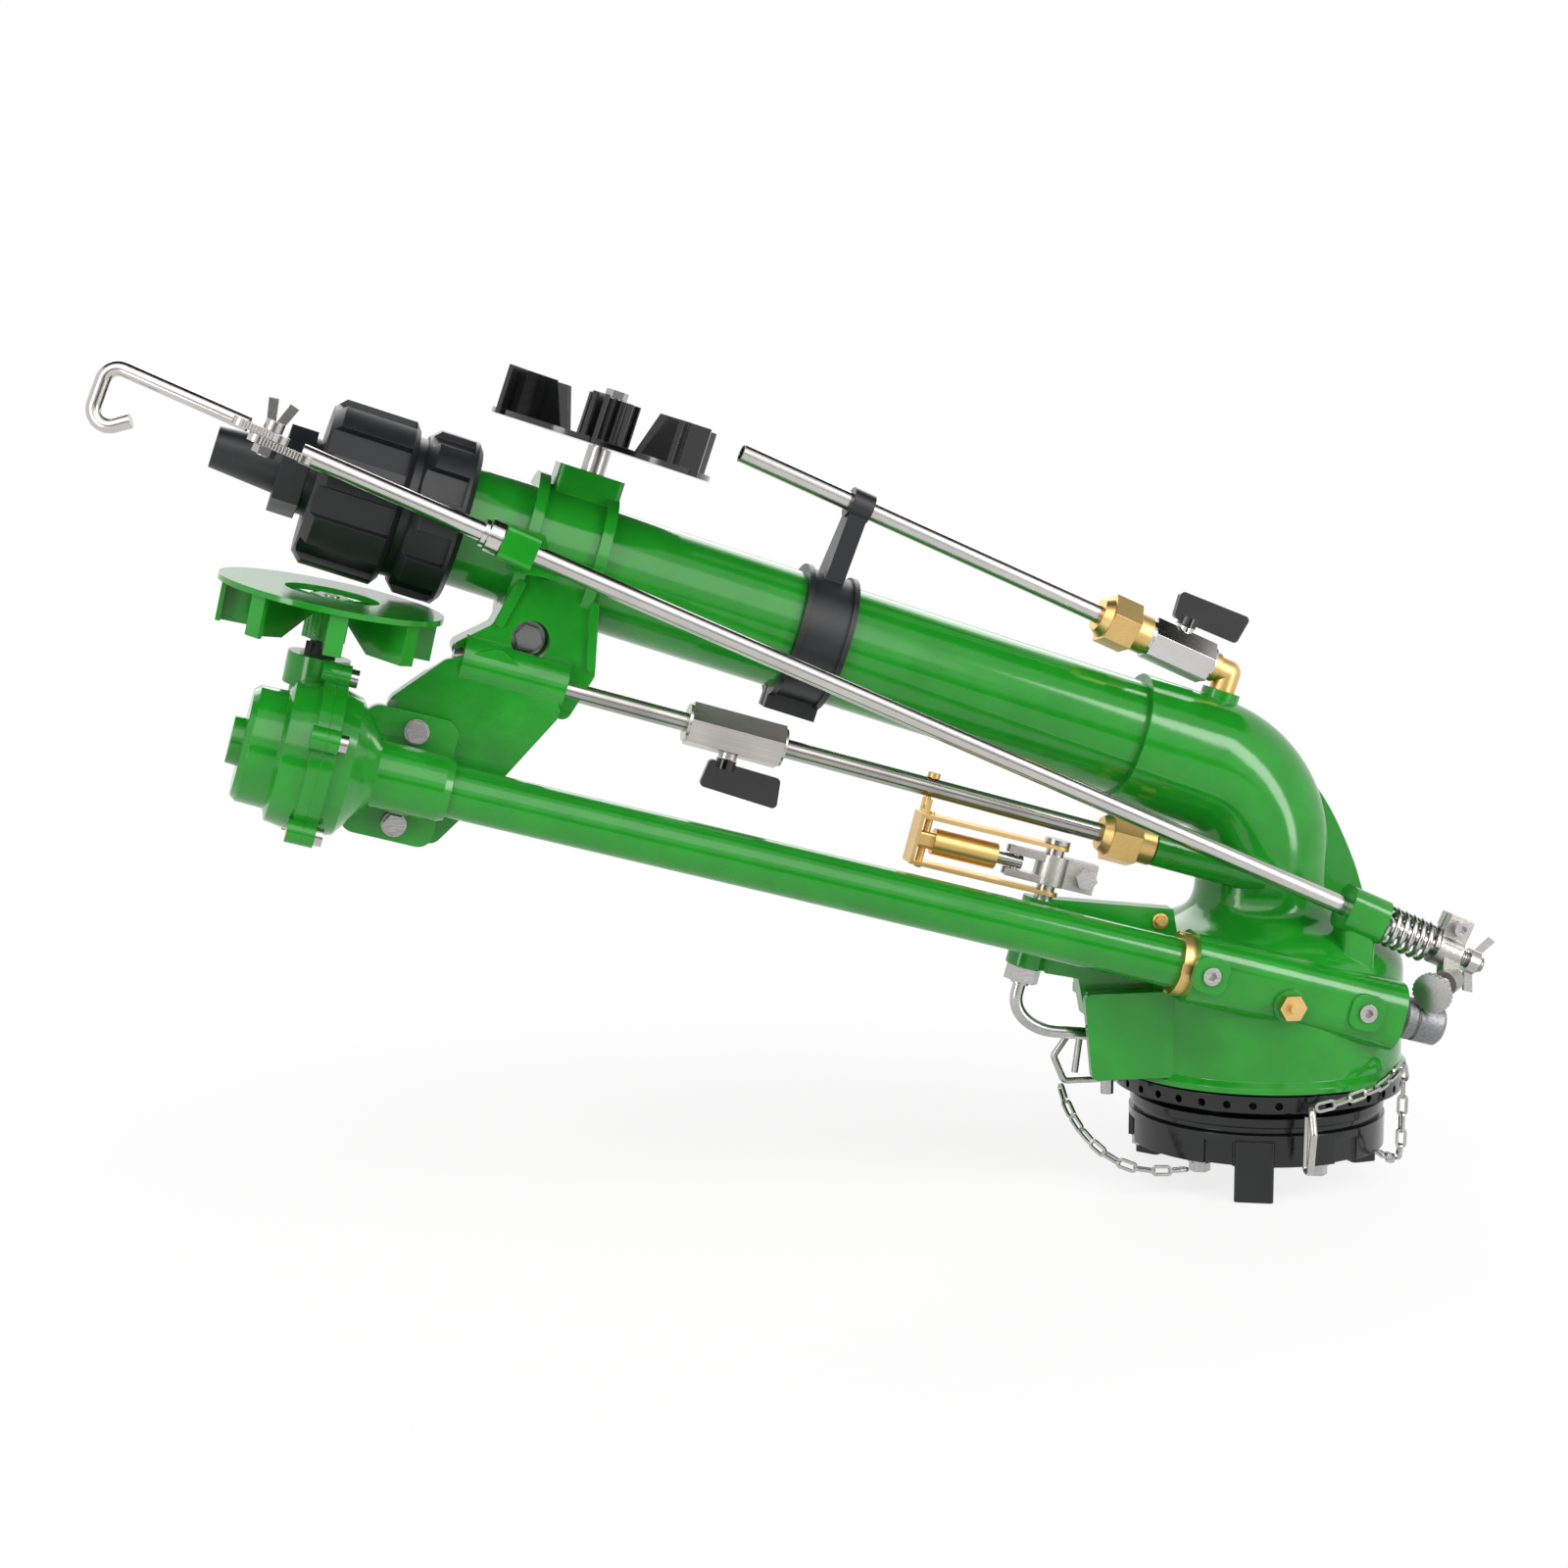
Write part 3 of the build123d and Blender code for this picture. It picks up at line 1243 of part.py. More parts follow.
with BuildPart() as lever_screw:
    with BuildSketch(facing(rod, -92.5, 13.7, -6.5)):
        Circle(2.5)
    extrude(amount=-15)
    with BuildSketch(facing(rod, -92.5, 13.7, -6.5)):
        Circle(4.4)
    extrude(amount=5)
    with BuildSketch(facing(rod, -92.5, 13.7, -11.5)):
        RegularPolygon(2.3, 6)
    extrude(amount=-3, mode=Mode.SUBTRACT)
lever_screw.part.label = "lever_screw"
export_step(lever_screw.part, "parts/lever_screw.step")

disc_gap = (disc_point - foot_point).length
with BuildPart() as foot_screw:
    with BuildSketch(foot_plane.offset(-11)):
        Circle(3)
    extrude(amount=11 + disc_gap)
    with BuildSketch(foot_plane.offset(disc_gap - 1.5)):
        Circle(11)
        with PolarLocations(11, 24):
            Circle(0.6, mode=Mode.SUBTRACT)
    extrude(amount=3)
foot_screw.part.label = "foot_screw"
export_step(foot_screw.part, "parts/foot_screw.step")

# Hook that turns in the joint at the rod's front end
hook_yaw = 13.0
hook_turn = math.radians(hook_yaw)
hook_plane = Plane(origin=rod.from_local_coords((joint_along, 0, 0)),
                   x_dir=rod.x_dir * math.cos(hook_turn) + rod.z_dir * math.sin(hook_turn),
                   z_dir=rod.z_dir * math.cos(hook_turn) - rod.x_dir * math.sin(hook_turn))
hook_r = 3.9
with BuildPart() as hook:
    with BuildSketch(upward(hook_plane, 5, 0)):
        RectangleRounded(30, 13, 5)
    extrude(amount=4)
    with BuildLine(hook_plane) as hook_path:
        FilletPolyline((12, 2.6), (87, 2.6), (85, -34), (66, -19), radius=8)
    hook_wire = hook_path.wires()[0]
    with BuildSketch(Plane(origin=hook_wire @ 0, z_dir=hook_wire % 0)):
        Circle(hook_r)
    sweep(path=hook_wire)
    with BuildSketch(upward(hook_plane, 0, -4)):
        Circle(3 + running_gap)
    extrude(amount=12, mode=Mode.SUBTRACT)
hook.part.label = "hook"
export_step(hook.part, "parts/hook.step")

# Wing bolt of the hook joint and wing nut on the rod's rear end
with BuildPart() as wing_bolts:
    with BuildSketch(upward(rod, joint_along, -9)):
        Circle(3)
    extrude(amount=15)
    with BuildSketch(upward(rod, joint_along, 4.2)):
        Circle(5)
    extrude(amount=5)
    with BuildSketch(Plane(origin=rod.from_local_coords((joint_along, 0, -1.2)), x_dir=rod.x_dir, z_dir=rod.z_dir)):
        with BuildLine():
            Polyline((-4, 6), (-8, 19), (-3, 20), (0, 9), (3, 20), (8, 19), (4, 6), (-4, 6))
        make_face()
    extrude(amount=2.4)
    with BuildSketch(upward(rod, joint_along, -8.4)):
        RegularPolygon(6, 6)
    extrude(amount=4)
    with BuildSketch(across(rod, -112)):
        Circle(6.5)
        Circle(4, mode=Mode.SUBTRACT)
    extrude(amount=6)
    with BuildSketch(Plane(origin=rod.from_local_coords((-109, 0, -1.3)), x_dir=rod.x_dir, z_dir=rod.z_dir)):
        with BuildLine():
            Polyline((2, 5), (-3, 16), (-8, 15), (-3, 5), (2, 5))
        make_face()
        with BuildLine():
            Polyline((2, -5), (-3, -16), (-8, -15), (-3, -5), (2, -5))
        make_face()
    extrude(amount=2.6)
wing_bolts.part.label = "wing_bolts"
export_step(wing_bolts.part, "parts/wing_bolts.step")

# Stop pins: a straight leg in a ring hole and a wire loop outside it
pin_wire_r = 1.9
pin_left_turn = 180.0
pin_right_turn = 270.0
with BuildPart() as stop_pins:
    for turn, rise in ((pin_left_turn, 1), (pin_right_turn, -1)):
        a = math.radians(turn)
        pin_plane = Plane(origin=(0, 0, stop_hole_z), x_dir=(math.cos(a), math.sin(a), 0),
                          z_dir=(math.sin(a), -math.cos(a), 0))
        if rise > 0:
            loop_points = ((72, 0), (110, 0), (116, 14), (107, 27), (101, 27), (104, 4.4))
        else:
            loop_points = ((72, 0), (90, 0), (94, -12), (90, -32), (83, -36), (84, -4.4))
        with BuildLine(pin_plane) as loop:
            FilletPolyline(*loop_points, radius=2.8)
        loop_wire = loop.wires()[0]
        with BuildSketch(Plane(origin=loop_wire @ 0, z_dir=loop_wire % 0)):
            Circle(pin_wire_r)
        sweep(path=loop_wire)
stop_pins.part.label = "stop_pins"
export_step(stop_pins.part, "parts/stop_pins.step")

# Chains that tie the stop pins to flange bolts: stadium links turned a quarter against each other
link_long = 12.0
link_wide = 5.8
link_wire = 1.5
link_pitch = 8.7
chain_lines = (
    ((-112, -1, 33.8), (-109, -12, 21), (-100, -28, 7), (-84, -42, -2), (-68, -46, -4), (-53.6, -43.9, -4.2)),
    ((3.9, -87, 37.5), (27, -86, 43), (46, -77, 48), (60.5, -62, 50), (61.5, -61, 36), (61, -61.5, 18),
     (62, -57, 4), (63, -43, -3.6), (61.8, -26.7, -4.2)),
)
with BuildPart() as stop_chains:
    for points in chain_lines:
        with BuildLine(mode=Mode.PRIVATE) as chain_line:
            Spline(*points)
        chain_wire = chain_line.wires()[0]
        count = int(chain_wire.length / link_pitch)
        for i in range(count):
            at = (i + 0.5) / count
            tangent = chain_wire % at
            flat = Vector(0, 0, 1).cross(tangent).normalized()
            if i % 2:
                flat = tangent.cross(flat)
            centre = chain_wire @ at - flat * (link_wire / 2)
            with BuildSketch(Plane(origin=centre, x_dir=tangent, z_dir=flat)):
                SlotOverall(link_long, link_wide)
                SlotOverall(link_long - 2 * link_wire, link_wide - 2 * link_wire, mode=Mode.SUBTRACT)
            extrude(amount=link_wire)
stop_chains.part.label = "stop_chains"
export_step(stop_chains.part, "parts/stop_chains.step")
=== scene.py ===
import math

import bmesh
import bpy
from mathutils import Matrix, Vector


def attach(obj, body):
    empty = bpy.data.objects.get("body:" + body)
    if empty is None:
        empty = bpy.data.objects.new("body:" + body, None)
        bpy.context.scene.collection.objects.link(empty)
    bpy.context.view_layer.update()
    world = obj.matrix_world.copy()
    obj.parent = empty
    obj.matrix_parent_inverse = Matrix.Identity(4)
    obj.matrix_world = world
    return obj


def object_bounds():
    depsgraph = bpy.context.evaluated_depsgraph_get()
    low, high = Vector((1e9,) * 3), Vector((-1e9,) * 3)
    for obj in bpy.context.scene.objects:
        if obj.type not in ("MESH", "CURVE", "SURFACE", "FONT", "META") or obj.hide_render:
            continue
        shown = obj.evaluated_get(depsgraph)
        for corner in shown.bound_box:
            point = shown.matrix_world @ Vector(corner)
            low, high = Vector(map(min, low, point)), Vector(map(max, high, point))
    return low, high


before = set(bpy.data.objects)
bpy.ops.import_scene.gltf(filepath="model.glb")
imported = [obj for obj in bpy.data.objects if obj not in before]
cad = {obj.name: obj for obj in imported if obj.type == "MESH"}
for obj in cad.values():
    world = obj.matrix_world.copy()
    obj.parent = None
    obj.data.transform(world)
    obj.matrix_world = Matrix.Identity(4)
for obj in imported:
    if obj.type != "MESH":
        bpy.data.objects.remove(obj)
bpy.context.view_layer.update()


# The camera stands a little left of the gun and just above it, with a long lens, as in the photograph.
# Its target is the middle of the picture, in the plane of the barrel's axis.
photo_side = 1600
mm_per_px = 0.52
camera_distance = 1.637
camera_turn = math.radians(10.0)
camera_rise = math.radians(8.0)
picture_middle = Vector((-0.2653, 0.0, 0.2039))
toward_camera = Vector((-math.sin(camera_turn) * math.cos(camera_rise),
                        -math.cos(camera_turn) * math.cos(camera_rise), math.sin(camera_rise)))
lens = bpy.data.cameras.new("camera")
lens.sensor_width = 36.0
lens.lens = lens.sensor_width * camera_distance / (photo_side * mm_per_px / 1000)
camera = bpy.data.objects.new("camera", lens)
camera.location = picture_middle + toward_camera * camera_distance
camera.rotation_euler = (-toward_camera).to_track_quat("-Z", "Y").to_euler()
bpy.context.scene.collection.objects.link(camera)
bpy.context.scene.camera = camera
bpy.context.scene.view_settings.view_transform = "Standard"


# Materials are built from nodes: one call adds a node, sets its sockets by name and links what is a socket.
# Colours are written as sRGB hex and turned to the linear values that the shaders want.
def linear(colour):
    parts = [int(colour[i:i + 2], 16) / 255 for i in (1, 3, 5)]
    return [c / 12.92 if c <= 0.04045 else ((c + 0.055) / 1.055) ** 2.4 for c in parts] + [1.0]


def node(tree, kind, sockets=None, **settings):
    made = tree.nodes.new("ShaderNode" + kind)
    for name, value in settings.items():
        setattr(made, name, value)
    for name, value in (sockets or {}).items():
        if isinstance(value, bpy.types.NodeSocket):
            tree.links.new(value, made.inputs[name])
        else:
            made.inputs[name].default_value = value
    return made


def material_tree(name):
    material = bpy.data.materials.new(name)
    material.use_nodes = True
    material.node_tree.nodes.clear()
    return material, material.node_tree


def dress(material, *names):
    for name in names:
        cad[name].data.materials.clear()
        cad[name].data.materials.append(material)


# Studio: a sheet of matt white paper under the gun and a white room round it.
# Far from the gun the paper shows as plain white, near it it keeps the shadow.
floor_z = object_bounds()[0][2] - 0.0004
paper_white = linear("#F4F4F2")
paper, tree = material_tree("matt_white_paper")
place = node(tree, "TexCoord").outputs["Object"]
away = node(tree, "VectorMath", {0: place}, operation="LENGTH").outputs["Value"]
grain = node(tree, "TexNoise", {"Vector": place, "Scale": 900.0, "Detail": 3.0}).outputs["Fac"]
tone = node(tree, "Mix", {"Factor": grain, "A": linear("#F1F1EF"), "B": paper_white},
            data_type="RGBA").outputs["Result"]
fade = node(tree, "MapRange", {"Value": away, "From Min": 0.1, "From Max": 0.5,
                               "To Min": 0.72}).outputs["Result"]
rays = node(tree, "LightPath").outputs
seen = node(tree, "Math", {0: rays["Is Camera Ray"], 1: rays["Is Glossy Ray"]},
            operation="MAXIMUM").outputs[0]
seen = node(tree, "Math", {0: seen, 1: rays["Is Transmission Ray"]}, operation="MAXIMUM").outputs[0]
share = node(tree, "Math", {0: seen, 1: fade}, operation="MULTIPLY").outputs[0]
sheet = node(tree, "BsdfPrincipled", {"Base Color": tone, "Roughness": 0.9}).outputs[0]
glow = node(tree, "Emission", {"Color": (1, 1, 1, 1), "Strength": 1.0}).outputs[0]
mixed = node(tree, "MixShader", {"Fac": share, 1: sheet, 2: glow}).outputs[0]
node(tree, "OutputMaterial", {"Surface": mixed})
bpy.ops.mesh.primitive_plane_add(size=12.0, location=(picture_middle.x, 0.0, floor_z))
floor = bpy.context.object
floor.name = "paper_floor"
floor.data.materials.append(paper)

world = bpy.data.worlds.new("white_room")
world.use_nodes = True
tree = world.node_tree
tree.nodes.clear()
rays = node(tree, "LightPath").outputs
seen = node(tree, "Math", {0: rays["Is Camera Ray"], 1: rays["Is Glossy Ray"]},
            operation="MAXIMUM").outputs[0]
seen = node(tree, "Math", {0: seen, 1: rays["Is Transmission Ray"]}, operation="MAXIMUM").outputs[0]
room_light = 0.5
strength = node(tree, "MapRange", {"Value": seen, "To Min": room_light, "To Max": 1.0}).outputs["Result"]
room = node(tree, "Background", {"Color": (1, 1, 1, 1), "Strength": strength}).outputs[0]
node(tree, "OutputWorld", {"Surface": room})
bpy.context.scene.world = world


# Lamps: a wide softbox over the camera draws the pale band along the barrel, and a tall strip at the right
# draws the window on the drum. A softbox behind lights the far side. Two black cards, one overhead and one
# behind the camera, keep the enamel deep and give the metals edges.
def aim(thing, spot, target):
    thing.location = spot
    thing.rotation_euler = (Vector(target) - Vector(spot)).to_track_quat("-Z", "Y").to_euler()


for lamp_name, spot, target, wide, high, watts in (
    ("wide_softbox", (-0.5, -1.45, 1.5), (-0.25, 0.0, 0.2), 2.6, 1.3, 19.0),
    ("rear_softbox", (-0.2, 1.6, 1.2), (-0.25, 0.0, 0.2), 2.2, 1.0, 17.0),
    ("right_strip", (0.75, -0.95, 0.55), (-0.05, 0.0, 0.15), 0.3, 1.2, 9.0),
    ("left_strip", (-1.3, -0.8, 0.5), (-0.3, 0.0, 0.3), 0.25, 1.1, 5.0),
):
    area = bpy.data.lights.new(lamp_name, "AREA")
    area.shape = "RECTANGLE"
    area.size = wide
    area.size_y = high
    area.energy = watts
    lamp = bpy.data.objects.new(lamp_name, area)
    aim(lamp, spot, target)
    bpy.context.scene.collection.objects.link(lamp)

flag_black, tree = material_tree("black_flag_cloth")
place = node(tree, "TexCoord").outputs["Object"]
nap = node(tree, "TexNoise", {"Vector": place, "Scale": 300.0}).outputs["Fac"]
tone = node(tree, "Mix", {"Factor": nap, "A": linear("#0C0C0C"), "B": linear("#161616")},
            data_type="RGBA").outputs["Result"]
cloth = node(tree, "BsdfPrincipled", {"Base Color": tone, "Roughness": 1.0,
                                      "Specular IOR Level": 0.0}).outputs[0]
node(tree, "OutputMaterial", {"Surface": cloth})
for flag_name, spot, target, wide, high in (
    ("overhead_flag", (-0.25, 0.25, 1.5), (-0.25, 0.25, 0.0), 3.0, 1.2),
    ("front_flag", (-0.6, -2.2, 0.22), (-0.25, 0.0, 0.22), 3.2, 0.5),
):
    bpy.ops.mesh.primitive_plane_add(size=1.0)
    flag = bpy.context.object
    flag.name = flag_name
    flag.scale = (wide, high, 1.0)
    aim(flag, spot, target)
    flag.visible_camera = False
    flag.data.materials.append(flag_black)


# Gun body and its castings: sand-cast aluminium, filled and sprayed with a gloss green enamel.
# The enamel flows to a deep wet gloss, with a faint orange peel and the casting's slow waviness under it.
def enamel(name, light, dark, peel_mm, peel, wave, edge_mm=0.7, joint_z=None):
    material, tree = material_tree(name)
    place = node(tree, "TexCoord").outputs["Object"]
    slow = node(tree, "TexNoise", {"Vector": place, "Scale": 1000 / 28.0, "Detail": 3.0}).outputs["Fac"]
    tone = node(tree, "MapRange", {"Value": slow, "From Min": 0.35, "From Max": 0.65}).outputs["Result"]
    colour = node(tree, "Mix", {"Factor": tone, "A": linear(dark), "B": linear(light)},
                  data_type="RGBA").outputs["Result"]
    fine = node(tree, "TexNoise", {"Vector": place, "Scale": 1000 / peel_mm, "Detail": 2.0}).outputs["Fac"]
    rough = node(tree, "MapRange", {"Value": fine, "To Min": 0.1, "To Max": 0.16}).outputs["Result"]
    edge = node(tree, "Bevel", {"Radius": edge_mm / 1000}, samples=4).outputs["Normal"]
    if joint_z:
        height = node(tree, "SeparateXYZ", {"Vector": place}).outputs["Z"]
        near = node(tree, "Math", {0: height, 1: joint_z, 2: 2.5 * edge_mm / 1000},
                    operation="COMPARE").outputs[0]
        plain = node(tree, "NewGeometry").outputs["Normal"]
        edge = node(tree, "Mix", {"Factor": near, "A": edge, "B": plain},
                    data_type="VECTOR").outputs["Result"]
    sway = node(tree, "TexNoise", {"Vector": place, "Scale": 1000 / 14.0, "Detail": 1.0}).outputs["Fac"]
    waved = node(tree, "Bump", {"Height": sway, "Strength": wave, "Distance": 0.001,
                                "Normal": edge}).outputs[0]
    skin = node(tree, "Bump", {"Height": fine, "Strength": peel, "Distance": 0.0002,
                               "Normal": waved}).outputs[0]
    shader = node(tree, "BsdfPrincipled", {"Base Color": colour, "Roughness": rough, "Normal": skin,
                                           "IOR": 1.5})
    node(tree, "OutputMaterial", {"Surface": shader.outputs[0]})
    return material


throat_low = 0.146
gloss_green_enamel = enamel("gloss_green_enamel", "#1D8C22", "#197E1E", 2.2, 0.1, 0.1)
gloss_green_enamel_body = enamel("gloss_green_enamel_body", "#1D8C22", "#197E1E", 2.2, 0.1, 0.1,
                                 joint_z=throat_low)
gloss_green_enamel_tube = enamel("gloss_green_enamel_tube", "#1C8821", "#197E1E", 2.2, 0.06, 0.03)
dress(gloss_green_enamel_body, "body_casting", "elbow_casting")
dress(gloss_green_enamel, "barrel_bracket", "gearbox_rear", "gearbox_front", "turbine_wheel")
dress(gloss_green_enamel_tube, "barrel_tube", "drive_tube")


# Base: grey iron casting in gloss black enamel, with the sand's texture still showing through the paint.
# It stands still on the riser and carries the ring of holes for the stop pins.
gloss_black_enamel = enamel("gloss_black_enamel", "#101113", "#0A0B0C", 1.6, 0.3, 0.25)
dress(gloss_black_enamel, "base_casting")


# Nozzle, its two ribbed nuts and the strap: glass-filled nylon, moulded in a spark-eroded tool.
# The fine grain of the tool leaves a satin black that only gleams along the ribs.
def moulded(name, light, dark, rough_low, rough_high, grain_mm, grain, edge_mm=0.6, coat=0.0):
    material, tree = material_tree(name)
    place = node(tree, "TexCoord").outputs["Object"]
    fine = node(tree, "TexNoise", {"Vector": place, "Scale": 1000 / grain_mm, "Detail": 3.0}).outputs["Fac"]
    cloud = node(tree, "TexNoise", {"Vector": place, "Scale": 1000 / 20.0, "Detail": 4.0}).outputs["Fac"]
    colour = node(tree, "Mix", {"Factor": cloud, "A": linear(dark), "B": linear(light)},
                  data_type="RGBA").outputs["Result"]
    rough = node(tree, "MapRange", {"Value": cloud, "From Min": 0.3, "From Max": 0.7, "To Min": rough_low,
                                    "To Max": rough_high}).outputs["Result"]
    edge = node(tree, "Bevel", {"Radius": edge_mm / 1000}, samples=4).outputs["Normal"]
    skin = node(tree, "Bump", {"Height": fine, "Strength": grain, "Distance": 0.0002,
                               "Normal": edge}).outputs[0]
    shader = node(tree, "BsdfPrincipled", {"Base Color": colour, "Roughness": rough, "Normal": skin,
                                           "IOR": 1.5,
                                           "Coat Weight": coat, "Coat Roughness": 0.06})
    node(tree, "OutputMaterial", {"Surface": shader.outputs[0]})
    return material


satin_black_nylon = moulded("satin_black_nylon", "#1D1E21", "#141517", 0.34, 0.46, 0.9, 0.25)
dress(satin_black_nylon, "nozzle", "nozzle_nut", "barrel_nut", "tube_strap")


# Splash wheel and valve handles: ABS moulded in a polished tool, so the black is glossy and deep.
# The wheel turns on its stud over the barrel, and each handle turns on its valve.
gloss_black_abs = moulded("gloss_black_abs", "#0D0E0F", "#060607", 0.1, 0.17, 3.0, 0.06, coat=0.4)
dress(gloss_black_abs, "splash_wheel", "upper_valve_handle", "lower_valve_handle")


# Seals: black nitrile rubber, moulded, dull with a trace of bloom.
# One lies inside the inlet, and the other is the ribbed cone on the turbine's tower.
black_nitrile = moulded("black_nitrile", "#1D1D1D", "#131313", 0.55, 0.7, 0.8, 0.3, edge_mm=0.4)
dress(black_nitrile, "inlet_seal", "shaft_seal")


# Flow straightener: natural acetal, moulded, milky white.
# It is pushed into the barrel, where it stays out of sight.
natural_acetal = moulded("natural_acetal", "#D9D7CE", "#CCCABF", 0.35, 0.45, 1.5, 0.1)
dress(natural_acetal, "flow_vanes")


# Bare metals: drawn or turned, so fine lines run along or round them and break up the reflections.
# A trace of dulling lies over them in soft clouds.
def bare_metal(name, light, dark, rough_low, rough_high, lean=0.0, yaw=0.0, line_mm=0.4, run_mm=80.0,
               lines=0.05,
               edge_mm=0.35, spots=0.0):
    material, tree = material_tree(name)
    place = node(tree, "TexCoord").outputs["Object"]
    stretch = (run_mm / 1000, line_mm / 1000, line_mm / 1000)
    drawn = node(tree, "Mapping", {"Vector": place, "Rotation": (0.0, math.radians(lean), math.radians(yaw)),
                                   "Scale": stretch}, vector_type="TEXTURE").outputs[0]
    line = node(tree, "TexNoise", {"Vector": drawn, "Scale": 1.0, "Detail": 2.0}).outputs["Fac"]
    cloud = node(tree, "TexNoise", {"Vector": place, "Scale": 1000 / 25.0, "Detail": 3.0}).outputs["Fac"]
    both = node(tree, "Math", {0: line, 1: cloud}, operation="ADD").outputs[0]
    share = node(tree, "MapRange", {"Value": both, "From Min": 0.7, "From Max": 1.3}).outputs["Result"]
    colour = node(tree, "Mix", {"Factor": share, "A": linear(dark), "B": linear(light)},
                  data_type="RGBA").outputs["Result"]
    rough = node(tree, "MapRange", {"Value": both, "From Min": 0.7, "From Max": 1.3, "To Min": rough_high,
                                    "To Max": rough_low}).outputs["Result"]
    edge = node(tree, "Bevel", {"Radius": edge_mm / 1000}, samples=4).outputs["Normal"]
    skin = node(tree, "Bump", {"Height": line, "Strength": lines, "Distance": 0.0001,
                               "Normal": edge}).outputs[0]
    if spots:
        pit = node(tree, "TexNoise", {"Vector": place, "Scale": 1000 / 1.2, "Detail": 2.0}).outputs["Fac"]
        skin = node(tree, "Bump", {"Height": pit, "Strength": spots, "Distance": 0.0003,
                                   "Normal": skin}).outputs[0]
    shader = node(tree, "BsdfPrincipled", {"Base Color": colour, "Metallic": 1.0, "Roughness": rough,
                                           "Normal": skin})
    node(tree, "OutputMaterial", {"Surface": shader.outputs[0]})
    return material


# Jet breaker rod, upper tube, feed tubes and hook: stainless steel, drawn and polished.
# They are bright, with fine lines along each rod and tube.
rod_lean = 24.1
feed_lean = 16.05
drawn_stainless_rod = bare_metal("drawn_stainless_rod", "#CFCDC9", "#BBB9B5", 0.17, 0.23, lean=rod_lean,
                                 lines=0.02)
drawn_stainless_feed = bare_metal("drawn_stainless_feed", "#B4B2AD", "#96948E", 0.18, 0.26, lean=feed_lean,
                                  lines=0.02)
dress(drawn_stainless_rod, "breaker_rod", "upper_tube", "hook", "rod_collar")
dress(drawn_stainless_feed, "feed_tubes")


# Bolts, screws, springs, chains and pins: bright stainless and zinc-plated steel, cold headed or wound.
# The trip rod and the shafts are bent or turned from the same bright bar.
bright_fastener_steel = bare_metal("bright_fastener_steel", "#C4C3C0", "#A09F9C", 0.18, 0.28, run_mm=4.0)
dress(bright_fastener_steel, "flange_bolts", "clamp_bolt", "ear_bolts", "socket_screws", "fork_bolt",
      "trip_rod", "trip_nut", "lever_screw", "foot_screw", "wing_bolts", "stop_pins", "stop_chains",
      "wheel_stud", "worm_shaft", "turbine_shaft", "plunger", "toggle_spring", "rod_spring")


# Mini valves: hexagonal brass bar, turned and nickel plated.
# The plating is bright on the upper feed, and satin on the lower feed and the drive nozzle.
bright_nickel = bare_metal("bright_nickel_plate", "#D0CFCC", "#C2C1BE", 0.08, 0.13, lean=rod_lean, lines=0.03)
satin_nickel = bare_metal("satin_nickel_plate", "#C8C5BF", "#B3B0A9", 0.26, 0.36, lean=feed_lean, lines=0.08)
dress(bright_nickel, "upper_valve")
dress(satin_nickel, "lower_valve", "drive_nozzle")


# Nuts, elbow, lock ring, plug and the toggle's frame and cartridge: yellow brass, machined and left bare.
# Fine turning lines spread the light, so it looks like a soft pale gold.
machined_brass = bare_metal("machined_brass", "#E0BE80", "#CFAC6A", 0.33, 0.42, run_mm=3.0, lines=0.03)
dress(machined_brass, "compression_nuts", "tube_locknut", "brass_elbow", "toggle_frame", "spring_cartridge",
      "feed_pin",
      "grease_plug")


# Ring gear, spindle, bushes and gearbox wheel: turned tin bronze, redder than the brass.
# They run inside the base, the drum and the gearbox, where little of them shows.
turned_bronze = bare_metal("turned_bronze", "#B98A52", "#9A7040", 0.3, 0.4, run_mm=3.0)
dress(turned_bronze, "ring_gear", "swivel_bush", "spindle", "worm_bushes", "gearbox_wheel")


# Trip fork, rod lever and end cap: bare cast aluminium, bead blasted to a dull grey.
# The fork and the lever are clamped on their shafts, and the ribbed cap closes the worm housing.
cast_grey_fork = bare_metal("cast_grey_fork", "#C2C0BB", "#96958F", 0.34, 0.48, run_mm=2.0, lines=0.05,
                            edge_mm=0.6, spots=0.35)
cast_grey_aluminium = bare_metal("cast_grey_aluminium", "#9A9B9B", "#6E7071", 0.42, 0.58, run_mm=2.0,
                                 lines=0.05,
                                 edge_mm=0.6, spots=0.5)
dress(cast_grey_fork, "trip_fork", "rod_lever")
dress(cast_grey_aluminium, "end_cap")


# Rolled threads: a V-shaped ridge wound round the rod's rear end and round the foot screw.
# They are rolled into the same bright steel and hold the wing nut and the foot disc.
rod_turn = math.radians(rod_lean)
rod_along = Vector((-math.cos(rod_turn), 0.0, math.sin(rod_turn)))
rod_up = Vector((math.sin(rod_turn), 0.0, math.cos(rod_turn)))
away_from_viewer = Vector((0.0, 1.0, 0.0))
rod_origin = Vector((0.0, -56.0, 151.1))


def on_rod(along, up=0.0, away=0.0):
    return rod_origin + rod_along * along + rod_up * up + away_from_viewer * away


def add_piece(name, mesh, material, body):
    piece = bpy.data.objects.new(name, mesh)
    mesh.materials.append(material)
    bpy.context.scene.collection.objects.link(piece)
    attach(piece, body)
    return piece


